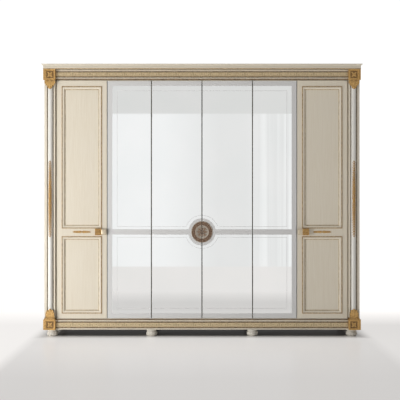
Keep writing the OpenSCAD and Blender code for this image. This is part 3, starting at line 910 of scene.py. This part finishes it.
def front_warp(side, x, y, z, up=1):
    """Lays shapes on a front face: across is outward on that side, along is up or down."""
    return flat_warp((side * x, y, z), (side, 0, 0), (0, 0, up), (0, -1, 0))


def shield_outline(u):
    """Half-width share of a hanging leaf: broad shoulders narrowing to a blunt tip."""
    return max(0.04, (1 - 0.5 * u ** 1.6) * math.sqrt(max(0, 1 - u ** 10)))


def arch_outline(u):
    """Half-width share of a standing fan: upright sides under a round arch."""
    return 1.0 if u < 0.4 else math.sqrt(max(0.002, 1 - ((u - 0.4) / 0.6) ** 2))


# Leaves on each side of the acanthus, outer first: lean, and shares of its width (shift), length (reach),
# width (wide) and height (lift)
ACANTHUS_LEAVES = ((0.5, 0.32, 0.46, 0.34, 0.25), (0.27, 0.24, 0.66, 0.32, 0.3),
                   (0.1, 0.14, 0.84, 0.28, 0.36))


def add_acanthus(shape, warp, width, length, height):
    """A full hanging leaf: lobed shield, spread side leaves, a long front leaf and two volutes."""
    add_petal(shape, warp, length * 0.97, width * 0.86, height * 0.6, lobes=4, nu=20, nv=10,
              outline=shield_outline)
    for sx in (-1, 1):
        for lean, shift, reach, wide, lift in ACANTHUS_LEAVES:
            add_petal(shape, turned(warp, sx * lean, sx * width * shift, 0, height * lift), length * reach,
                      width * wide, height * 0.55, curl=height * 0.3, lobes=2, nu=10)
        volute = turned(warp, 0, sx * width * 0.36, length * 0.11, height * 0.35)
        add_scroll(shape, volute, width * 0.1, 1.4, height * 0.28, hand=sx)
    add_petal(shape, turned(warp, 0, 0, 0, height * 0.5), length, width * 0.36, height * 0.6,
              curl=height * 0.1, lobes=3, nu=14, outline=shield_outline)
    add_bead(shape, turned(warp, 0, 0, length * 0.1, height * 0.7), width * 0.08, height * 0.6)


# Leaves of the fan from the outside in: lean to both sides, and share of its length
PALMETTE_LEAVES = ((1.12, 0.54), (0.74, 0.72), (0.38, 0.9), (0.0, 1.0))


def add_palmette(shape, warp, width, length, height):
    """A standing fan of round-ended leaves on an arched ground, with volutes at its foot."""
    add_petal(shape, warp, length * 0.93, width * 0.9, height * 0.5, nu=20, nv=12, fold=0,
              outline=arch_outline)
    for angle, reach in PALMETTE_LEAVES:
        for sx in ((-1, 1) if angle else (1,)):
            lift = height * (0.42 - 0.2 * angle)
            add_petal(shape, turned(warp, sx * angle, 0, length * 0.08, lift), length * 0.92 * reach,
                      width * 0.25, height * 0.6, curl=height * 0.25, fold=0.6, nu=10, blunt=1)
    for sx in (-1, 1):
        volute = turned(warp, 0, sx * width * 0.34, length * 0.16, height * 0.3)
        add_scroll(shape, volute, width * 0.115, 1.5, height * 0.3, hand=sx)
    add_petal(shape, turned(warp, 0, 0, length * 0.04, height * 0.7), length * 0.42, width * 0.16,
              height * 0.4)
    add_bead(shape, turned(warp, 0, 0, length * 0.1, height * 0.6), width * 0.085, height * 0.6)


def finish_corner(name, side, block, carving):
    node = f"{name}_{side_word(side)}"
    piece(node + "_block", flipped(block, side), ["gold"], "carcass", [node], edge=0.5 * MM)
    piece(node + "_carving", carving, ["gold"], "carcass", smooth_angle=60)


def add_field_rosette(shape, side, low, high, z0, z1, radius):
    """A rosette in the middle of a block's sunk field."""
    x = (low.x + high.x - OUTER_STRIP) / 2
    add_rosette(shape, front_warp(side, x, low.y + 6.5 * MM, (z0 + z1) / 2), radius, 5 * MM)


def build_capital(side):
    low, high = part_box("capital_right")
    block_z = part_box("pilaster_right")[1].z
    block, carving = Shape(), Shape()
    block_frame(block, (low.x, block_z, high.x, high.z), low.y, high.y)
    add_field_rosette(carving, side, low, high, block_z, high.z, 27 * MM)
    leaf = front_warp(side, column_middle(), low.y + 12 * MM, block_z + 1 * MM, -1)
    add_acanthus(carving, leaf, 88 * MM, block_z - low.z, 8 * MM)
    finish_corner("capital", side, block, carving)


# Steps between a base's block and its palmette: inset, drop below the top, and share of dark wash and
# painted shade
BASE_STEPS = ((7 * MM, 15 * MM, 0.1), (11 * MM, 10 * MM, 0.6), (8 * MM, 5 * MM, 0.1))


def build_base(side):
    low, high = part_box("base_right")
    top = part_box("pilaster_right")[0].z
    block_top = top - 15 * MM
    block, carving = Shape(), Shape()
    block_frame(block, (low.x, low.z, high.x, block_top), low.y, high.y)
    for inset, under, cavity in BASE_STEPS:
        add_box(block, (low.x + inset, low.y + inset, top - under),
                (high.x - inset, high.y, top - under + 5 * MM), cavity)
    add_field_rosette(carving, side, low, high, low.z, block_top, 25 * MM)
    palm = front_warp(side, column_middle(), low.y + 12 * MM, top - 1 * MM)
    add_palmette(carving, palm, 94 * MM, high.z - top, 8 * MM)
    finish_corner("base", side, block, carving)


HUSK_PITCH = 22 * MM
# Share of the garland's height at which its rosette sits
GARLAND_MIDDLE = 0.478


def build_garland(side):
    """Husks overlapping like scales from a centre rosette to two pointed tips, wrapped on the column."""
    node = "garland_" + side_word(side)
    low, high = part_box("garland_right")
    column_x = column_middle()
    axis_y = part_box("pilaster_right")[0].y + COLUMN_R
    middle = low.z + (high.z - low.z) * GARLAND_MIDDLE
    full = (high.x - low.x) / 2

    def column(z0, direction):
        def warp(x, y, z):
            a = x / COLUMN_R
            r = COLUMN_R + z
            across = column_x + r * math.sin(a)
            return Vector((side * across, axis_y - r * math.cos(a), z0 + direction * y))
        return warp

    shape = Shape()
    for direction, reach in ((1, high.z - middle), (-1, middle - low.z)):
        count = round(reach / HUSK_PITCH)
        for i in range(count - 1, -1, -1):
            start = reach * (i + 0.35) / count
            fade = 1 - i / count
            size = full * min(1.0, 0.36 + 0.85 * fade)
            warp = column(middle + direction * start, direction)
            length = min(reach / count * (1.35 if i < count - 1 else 1.1), reach - start)
            height = 4.4 * MM * (0.55 + 0.45 * fade)
            add_pair(shape, warp, 0.55, size * 0.16, 0, length * 0.95, size * 0.74, height * 0.8,
                     height * 0.3)
            add_petal(shape, turned(warp, 0, dz=height * 0.3), length, size * 0.62, height,
                      curl=height * 0.15, fold=0.15, nu=7, nv=6)
    centre = column(middle, 1)
    for k in range(8):
        add_petal(shape, turned(centre, (k + 0.5) * math.pi / 4, dz=1 * MM), 17 * MM, 10 * MM, 4 * MM,
                  curl=1 * MM, nu=6, nv=5)
    add_bead(shape, turned(centre, 0, dz=2 * MM), 5.5 * MM, 4.5 * MM)
    piece(node + "_husks", shape, ["husk_gold_and_shade"], "carcass", [node], smooth_angle=60)


# ---------------------------------------------------------------- feet

GADROONS = 20
GADROON_DEPTH = 0.045
# Turned outline of a foot from the floor up: shares of its height and radius, and of the gadroons' depth
FOOT_ROWS = [(0.0, 0.74, 0), (0.02, 0.77, 0), (0.06, 0.84, 0.3), (0.14, 0.94, 1), (0.26, 0.992, 1),
             (0.38, 1.0, 1), (0.50, 0.985, 1), (0.60, 0.94, 1), (0.68, 0.87, 0.7), (0.72, 0.82, 0),
             (0.75, 0.80, 0), (0.78, 0.815, 0), (0.80, 0.86, 0), (0.84, 0.885, 0), (0.90, 0.885, 0),
             (0.93, 0.86, 0), (1.0, 0.86, 0)]


def build_feet(name, node):
    """Bun feet with gadroons round the belly."""
    low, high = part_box(node)
    radius = (high.y - low.y) / 2
    mid_y = (low.y + high.y) / 2
    shape = Shape()
    for x in foot_places(node):
        def place(ring, a):
            up, out, flute = ring
            dip = GADROON_DEPTH * flute * (1 - abs(math.sin(GADROONS * a / 2)))
            r = radius * (out - dip)
            spot = (x + r * math.cos(a), mid_y + r * math.sin(a), low.z + (high.z - low.z) * up)
            return spot, min(1.0, dip * 14)

        add_rings(shape, FOOT_ROWS, 120, place)
    # The feet take their own darker cream, which is painted shade
    piece(name, shape, ["foot"], "carcass", [node], smooth_angle=50)


def foot_places(node):
    """Centres of the feet along X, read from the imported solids."""
    low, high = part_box(node)
    radius = (high.y - low.y) / 2
    spots = sorted(v.co.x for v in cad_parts[node].data.vertices)
    centres, group = [], [spots[0]]
    for x in spots[1:]:
        if x - group[-1] > radius:
            centres.append((group[0] + group[-1]) / 2)
            group = []
        group.append(x)
    centres.append((group[0] + group[-1]) / 2)
    return centres


# ---------------------------------------------------------------- framed side doors

def door_fields(side):
    """The two moulded openings of a side door as (x0, z0, x1, z1), below and above the handle."""
    word = side_word(side)
    low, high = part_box(word + "_door_panels")
    heights = [v.co.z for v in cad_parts[word + "_door_panels"].data.vertices]
    rail_z = middle_of(word + "_door_handle")
    mid_low = max(z for z in heights if z < rail_z)
    mid_high = min(z for z in heights if z > rail_z)
    return [(low.x, low.z, high.x, mid_low), (low.x, mid_high, high.x, high.z)]


def moulding_profile(proud, sunk):
    """(inset, proud) points and material numbers: outer bead, cove, thin inner bead."""
    crest = proud * 0.5
    drop = crest + sunk - 3 * MM
    angles = [math.pi / 2 * i / 8 for i in range(1, 9)]
    cove = [((10 + 17 * math.sin(a)) * MM, crest - drop * (1 - math.cos(a))) for a in angles]
    runs = (([(0, -sunk)], 0), (half_round(0, 8 * MM, 0, proud * 0.8, 8), 1),
            ([(8.8 * MM, -0.6 * MM), (10 * MM, crest)] + cove, 0),
            (half_round(27.5 * MM, 32 * MM, -sunk + 1.5 * MM, 2.6 * MM, 8), 2), ([(33 * MM, -sunk)], 0))
    return split_rows([(*point, mat) for run, mat in runs for point in run])


def build_mouldings(side):
    door = side_word(side) + "_door"
    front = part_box(door + "_frame")[0].y
    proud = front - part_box(door + "_mouldings")[0].y
    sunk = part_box(door + "_panels")[0].y - front
    points, mats = moulding_profile(proud, sunk)
    shape = Shape()
    for rect in door_fields(side):
        add_ring_sweep(shape, rect, front, points, mats)
    piece(door + "_bolections", shape, ["cream_z", "bead", "thin_bead"], door,
          [door + "_mouldings"], smooth_angle=40)


def build_applique(side):
    """Spindle of husks running both ways from a boss on the mid rail."""
    door = side_word(side) + "_door"
    node = door + "_applique"
    low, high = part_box(node)
    mid_x, mid_z = (low.x + high.x) / 2, middle_of(node)
    reach = (high.x - low.x) / 2
    shape = Shape()
    count = 5
    for way in (-1, 1):
        warp = flat_warp((mid_x, high.y, mid_z), (0, 0, 1), (way, 0, 0), (0, -1, 0))
        for i in range(count - 1, -1, -1):
            start = reach * (i * 0.86) / count
            fade = 1 - i / count
            length = min(reach / count * 1.7, reach - start)
            wide = (high.z - low.z) * (0.3 + 0.7 * fade)
            thick = 0.5 + 0.5 * fade
            add_pair(shape, warp, 0.22, wide * 0.14, start, length, wide * 0.42, 3.8 * MM * thick, 1 * MM)
            if i < count - 1:
                length *= 1.02
            add_petal(shape, turned(warp, 0, 0, start, 1 * MM), length, wide * 0.42, 4.6 * MM * thick,
                      nu=7, nv=6, fold=0.15)
    add_bead(shape, front_warp(1, mid_x, high.y - 2 * MM, mid_z), 6 * MM, 5 * MM)
    piece(door + "_spindle", shape, ["gold"], door, [node], smooth_angle=60)


def add_pillow(shape, low, high, sag, n=12, mat=0):
    """A square plate whose front swells towards its middle."""
    x0, y0, z0 = low
    x1, y1, z1 = high
    verts, cavity = [], []
    for i in range(n + 1):
        for k in range(n + 1):
            u, v = 2 * i / n - 1, 2 * k / n - 1
            crown = (1 - u ** 4) * (1 - v ** 4)
            verts.append((x0 + (x1 - x0) * i / n, y0 + sag * (1 - crown), z0 + (z1 - z0) * k / n))
            # Darker towards the edges and round the rim: painted shade, with the wash
            cavity.append(0.5 * (1 - crown) ** 3)
    row = n + 1
    faces = grid_faces(n, n)
    rim = [i * row for i in range(n + 1)] + [n * row + k for k in range(1, n + 1)]
    rim += [i * row + n for i in range(n - 1, -1, -1)] + [k for k in range(n - 1, 0, -1)]
    first = len(verts)
    for r in rim:
        verts.append((verts[r][0], y1, verts[r][2]))
        cavity.append(0.6)
    m = len(rim)
    faces += [(rim[i], rim[(i + 1) % m], first + (i + 1) % m, first + i) for i in range(m)]
    faces.append(tuple(first + i for i in range(m)))
    shape.add(verts, faces, mat, cavity)


def add_ribs(shape, rect, y_face, count=5):
    """Upright leaf-shaped ribs, tall in the middle of the plate and lower at its sides."""
    x0, z0, x1, z1 = rect
    pitch = (x1 - x0 - 12 * MM) / count
    for i in range(count):
        x = x0 + 6 * MM + pitch * (i + 0.5)
        reach = (z1 - z0) * (0.43 - 0.06 * abs(i - (count - 1) / 2))
        for way in (-1, 1):
            warp = front_warp(1, x, y_face, (z0 + z1) / 2, way)
            add_petal(shape, warp, reach, pitch * 0.95, 4.2 * MM, curl=0.6 * MM, fold=0.2,
                      nu=8, nv=6, blunt=1)
    add_bead(shape, front_warp(1, (x0 + x1) / 2, y_face, (z0 + z1) / 2), 5.5 * MM, 4.8 * MM)


HANDLE_BLOCK_W = 62 * MM
HANDLE_BASE_T = 13 * MM
HANDLE_STEP_T = 19 * MM
# (inset, proud) millimetres of the raised rim round its face
HANDLE_BORDER = [(0, 0), (0, 3), (1.2, 4.4), (3.2, 4.4), (4.6, 3), (5.4, 0)]


def build_handle(side):
    """Carved gilt block on the mid rail with a greige pillow grip over the stile, where the handle's shadow
    falls; the grip's colour is painted shadow.
    """
    door = side_word(side) + "_door"
    low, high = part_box("left_door_handle")
    split = low.x + HANDLE_BLOCK_W
    base, step = high.y - HANDLE_BASE_T, high.y - HANDLE_STEP_T
    face = low.y + 5 * MM
    rect = (low.x + 2 * MM, low.z + 2 * MM, split - 1 * MM, high.z - 2 * MM)
    border = [(inset * MM, proud * MM) for inset, proud in HANDLE_BORDER]
    shape = Shape()
    # The stepped back plates are darkened: painted shade, with the wash
    add_box(shape, (low.x, base, low.z), (split, high.y, high.z), 0.2)
    add_box(shape, (low.x + 5 * MM, step, low.z + 5 * MM), (split - 5 * MM, base, high.z - 5 * MM), 0.7)
    add_box(shape, (rect[0], face, rect[1]), (rect[2], step, rect[3]), 0.5)
    add_ring_sweep(shape, rect, face, border, [0] * len(border))
    add_ribs(shape, rect, face)
    # The pillow sits where the handle casts its shadow; its greige coat is painted shadow
    add_pillow(shape, (split - 1 * MM, low.y + 1 * MM, low.z + 3 * MM),
               (high.x, low.y + 8 * MM, high.z - 3 * MM), 3 * MM, mat=1)
    piece(door + "_pull", flipped(shape, -side), ["gold", "grip"], door,
          [door + "_handle"], edge=0.6 * MM, smooth_angle=50)


# ---------------------------------------------------------------- mirror doors

SATIN_T = 0.35 * MM
SATIN_BORDER = 46 * MM
MID_BAND = 50 * MM
RING_R = 127 * MM
LINE_R = 155 * MM
LINE_W = 3 * MM
LINE_INSET = 45 * MM
LINE_OFF = 50 * MM
SEAM_BEVEL = 7 * MM
GROUND_EDGE = 2 * MM
SATIN_GAP = 3 * MM


def build_plate(i):
    """Mirror plate: dark ground edges, then a narrow polished bevel down both long sides."""
    node = f"mirror_{i}_glass"
    low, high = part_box(node)
    drop = 0.9 * MM
    half = [(0, high.y), (0, low.y + drop + 0.4 * MM), (GROUND_EDGE, low.y + drop), (SEAM_BEVEL, low.y)]
    points = [(low.x + inset, y) for inset, y in half]
    points += [(high.x - inset, y) for inset, y in reversed(half)]
    shape = Shape()
    add_run(shape, low.z, high.z, points, [1, 1, 0, 0, 0, 1, 1, 0], axis="z")
    piece(f"mirror_{i}_plate", shape, ["silver", "glass_edge"], f"mirror_door_{i}",
          [node], smooth_angle=1)


def arc(radius, centre_z, a0, a1, steps):
    angles = [a0 + (a1 - a0) * k / steps for k in range(steps + 1)]
    return [(radius * math.cos(a), centre_z + radius * math.sin(a)) for a in angles]


def between(a, b, t):
    return (a[0] + (b[0] - a[0]) * t, a[1] + (b[1] - a[1]) * t)


def clip_path(path, x0, x1):
    """The runs of an (x, z) path that lie between two uprights."""
    runs, current = [], []
    for a, b in zip(path, path[1:]):
        crossed = [x for x in (x0, x1) if (a[0] - x) * (b[0] - x) < 0]
        cuts = sorted([0.0, 1.0] + [(x - a[0]) / (b[0] - a[0]) for x in crossed])
        for t0, t1 in zip(cuts, cuts[1:]):
            p, q = between(a, b, t0), between(a, b, t1)
            if x0 - 1e-9 <= (p[0] + q[0]) / 2 <= x1 + 1e-9:
                current = current or [p]
                current.append(q)
            elif current:
                runs.append(current)
                current = []
    if current:
        runs.append(current)
    return runs


def etched_paths(outer, low_z, high_z):
    """Left-hand etched lines, from the centre seam round to the bump over the medallion."""
    mid = middle_of("medallion_left")
    inset = SATIN_BORDER + LINE_INSET
    start = math.asin(LINE_OFF / LINE_R)
    paths = []
    for way, edge in ((1, high_z - inset), (-1, low_z + inset)):
        bump_arc = arc(LINE_R, mid, math.pi - way * start, math.pi - way * math.pi / 2, 24)
        paths.append([(0, edge), (inset - outer, edge), (inset - outer, mid + way * LINE_OFF)] + bump_arc)
    return paths


def outer_frost(left, right, low_z, high_z):
    """Outline of an outer door's frost: three borders and the mid band, open towards the next door."""
    inner = left + SATIN_BORDER - SATIN_GAP
    mid = middle_of("medallion_left")
    edges = [low_z + SATIN_BORDER, mid - MID_BAND / 2, mid + MID_BAND / 2, high_z - SATIN_BORDER]
    points = [(left, low_z), (right, low_z)]
    points += [(right, edges[0]), (inner, edges[0]), (inner, edges[1]), (right, edges[1])]
    points += [(right, edges[2]), (inner, edges[2]), (inner, edges[3]), (right, edges[3])]
    return points + [(right, high_z), (left, high_z)]


def inner_frost(left, right):
    """Outline of an inner door's mid band, which swells into the ring round the medallion."""
    mid = middle_of("medallion_left")
    edge = math.asin(MID_BAND / 2 / RING_R)
    stop = math.acos(-right / RING_R)
    outline = [(left, mid + MID_BAND / 2)] + arc(RING_R, mid, math.pi - edge, math.pi - stop, 20)
    return outline + arc(RING_R, mid, math.pi + stop, math.pi + edge, 20) + [(left, mid - MID_BAND / 2)]


def build_satin(i):
    """Etched areas of one mirror door as thin frosted films: borders, mid band, ring and fine lines."""
    low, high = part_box(f"mirror_{i}_glass")
    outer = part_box("mirror_4_glass")[1].x
    side = -1 if i < 3 else 1
    x0, x1 = (low.x, high.x) if side < 0 else (-high.x, -low.x)
    left, right = x0 + SATIN_GAP, x1 - SATIN_GAP
    if i in (1, 4):
        outlines = [outer_frost(left, right, low.z, high.z)]
    else:
        strips = ((low.z, low.z + SATIN_BORDER), (high.z - SATIN_BORDER, high.z))
        outlines = [[(left, z0), (right, z0), (right, z1), (left, z1)] for z0, z1 in strips]
        outlines.append(inner_frost(left, right))
    shape = Shape()
    for outline in outlines:
        add_prism(shape, outline, low.y - SATIN_T, low.y)
    for path in etched_paths(outer, low.z, high.z):
        for run in clip_path(path, left, right):
            add_ribbon(shape, run, LINE_W, low.y - SATIN_T, low.y)
    piece(f"mirror_{i}_etching", flipped(shape, -side), ["satin"], f"mirror_door_{i}",
          smooth_angle=30)


def add_disc_rings(shape, radius, mid, back, depth, rings, sides=128):
    """A stepped disc from (radius share, height share, material) rings, centre outwards."""
    def place(ring, a):
        r, out = ring[0] * radius, ring[1]
        # Sunk rings are darker: painted shade, with the wash
        return (r * math.cos(a), back - depth * out, mid + r * math.sin(a)), 0.5 if out < 0.4 else 0.1

    mats = [ring[2] for ring in rings[1:] for k in range(sides)] + [rings[0][2], rings[-1][2]]
    add_rings(shape, rings, sides, place, mats)


# The wreath's two rows: place along the radius, turn in steps, and a leaf's length and width in radii
WREATH_ROWS = ((0.83, 0.5, 0.155, 0.125), (0.685, 0.0, 0.19, 0.115))


def add_wreath(shape, face, radius, depth, count=30):
    """Dark serrated leaves in two overlapping rows that cover the outer third."""
    for k in range(count):
        for row, offset, reach, wide in WREATH_ROWS:
            a = 2 * math.pi * (k + offset) / count
            spot = turned(face, a, radius * row * math.sin(a), radius * row * math.cos(a))
            for lean in (-0.5, 0.5):
                add_petal(shape, turned(spot, lean), radius * reach, radius * wide * 0.7, depth * 0.45,
                          nu=5, nv=4, mat=1)
            add_petal(shape, turned(spot, 0, dz=depth * 0.08), radius * reach, radius * wide * 0.5,
                      depth * 0.48, nu=5, nv=4, mat=1)


def add_motif(shape, ground, radius, depth):
    """Plain four-part leaf and scroll pattern on the inner disc."""
    for k in range(4):
        quarter = turned(ground, k * math.pi / 2)
        diagonal = turned(ground, (k + 0.5) * math.pi / 2)
        add_petal(shape, turned(quarter, 0, 0, radius * 0.1), radius * 0.42, radius * 0.19, depth * 0.42,
                  mat=1, lobes=3)
        add_petal(shape, turned(diagonal, 0, 0, radius * 0.14), radius * 0.38, radius * 0.15, depth * 0.36,
                  mat=1, lobes=2)
        for sx in (-1, 1):
            place = turned(quarter, sx * 0.4, sx * radius * 0.17, radius * 0.34)
            add_scroll(shape, place, radius * 0.085, 1.2, depth * 0.2, mat=1, hand=sx, steps=20, sides=6)
    add_bead(shape, ground, radius * 0.1, depth * 0.5, mat=1)


# Turned steps of the medallion, centre outwards: shares of its radius and thickness, and a material number
MEDALLION_RINGS = [(0.60, 0.36, 0), (0.625, 0.55, 0), (0.655, 0.55, 1), (0.675, 0.36, 1), (0.955, 0.34, 1),
                   (0.97, 0.5, 0), (0.992, 0.5, 0), (1.0, 0.4, 0), (1.0, 0.0, 0)]


def medallion_shape():
    """The whole medallion: dark wreath of leaves round a paler disc with a leaf motif."""
    low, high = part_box("medallion_left")
    radius = (high.z - low.z) / 2
    mid = middle_of("medallion_left")
    back = high.y - SATIN_T
    depth = high.y - low.y
    shape = Shape()
    add_disc_rings(shape, radius, mid, back, depth, MEDALLION_RINGS)
    ground = front_warp(1, 0, back - depth * 0.34, mid)
    add_wreath(shape, ground, radius, depth)
    add_motif(shape, ground, radius, depth)
    return shape


def cut_at_seam(obj, seam, side):
    """Keeps the half of a mesh on one side of an upright seam, and closes the cut."""
    cut = bmesh.new()
    cut.from_mesh(obj.data)
    parts = cut.verts[:] + cut.edges[:] + cut.faces[:]
    plane = {"plane_co": (seam, 0, 0), "plane_no": (-side, 0, 0)}
    result = bmesh.ops.bisect_plane(cut, geom=parts, clear_outer=True, **plane)
    rim = [e for e in result["geom_cut"] if isinstance(e, bmesh.types.BMEdge) and e.is_boundary]
    bmesh.ops.holes_fill(cut, edges=rim)
    cut.to_mesh(obj.data)
    cut.free()


def build_medallion(side):
    node = "medallion_" + side_word(side)
    low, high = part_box(node)
    obj = make_object(node + "_relief", medallion_shape(), ["disc", "leafage"], 50)
    cut_at_seam(obj, high.x if side < 0 else low.x, side)
    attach(obj, "mirror_door_2" if side < 0 else "mirror_door_3")
    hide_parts(node)


# ---------------------------------------------------------------- CAD nodes that keep their shape

DOORS = range(1, 5)
PIVOTS = ["left_door_pivots", "right_door_pivots"] + [f"mirror_{i}_pivots" for i in DOORS]
KEPT = {
    "cream_z": ["side_panel_left", "side_panel_right", "stop_stiles", "left_door_frame", "right_door_frame",
                "left_door_panels", "right_door_panels"] + [f"mirror_{i}_board" for i in DOORS],
    "cream_y": ["plinth_returns", "frieze_returns"],
    "board_z": ["partition_left", "partition_right", "back_panels"],
    "board_x": ["top_panel", "bottom_panel", "shelves"],
    # The plinth rails take the near-black board: painted shade under the armoire
    "shaded_board": ["plinth_cross_rails", "plinth_long_rails"],
    "steel": ["shelf_pins", "hanging_rails", "rail_sockets", "pivot_sockets"] + PIVOTS,
    "plastic": ["push_catches"],
}


def dress_kept():
    for key, names in KEPT.items():
        for name in names:
            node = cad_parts[name]
            node.data.materials.clear()
            node.data.materials.append(MATERIALS[key])
            if key != "steel":
                weld = node.modifiers.new("weld", "WELD")
                weld.merge_threshold = 0.05 * MM
                soften(node, 0.8 * MM, 40)


def build_all():
    dress_kept()
    build_cornice()
    build_rail("frieze_moulding", "frieze_rail", "frieze_key_band", (11 * MM, 12 * MM), (13 * MM, 5 * MM))
    build_rail("plinth_moulding", "plinth_front", "plinth_key_band", (11 * MM, 12 * MM), (0, 9 * MM))
    build_key_band("frieze_key_relief", "frieze_key_band")
    build_key_band("plinth_key_relief", "plinth_key_band")
    build_feet("front_bun_feet", "front_feet")
    build_feet("rear_bun_feet", "rear_feet")
    for side in (-1, 1):
        build_pilaster(side)
        build_capital(side)
        build_base(side)
        build_garland(side)
        build_mouldings(side)
        build_applique(side)
        build_handle(side)
        build_medallion(side)
    for i in DOORS:
        build_plate(i)
        build_satin(i)


add_camera()
add_world()
add_lights()
add_room()
add_floor()
build_all()
bpy.context.scene.view_settings.view_transform = "Standard"
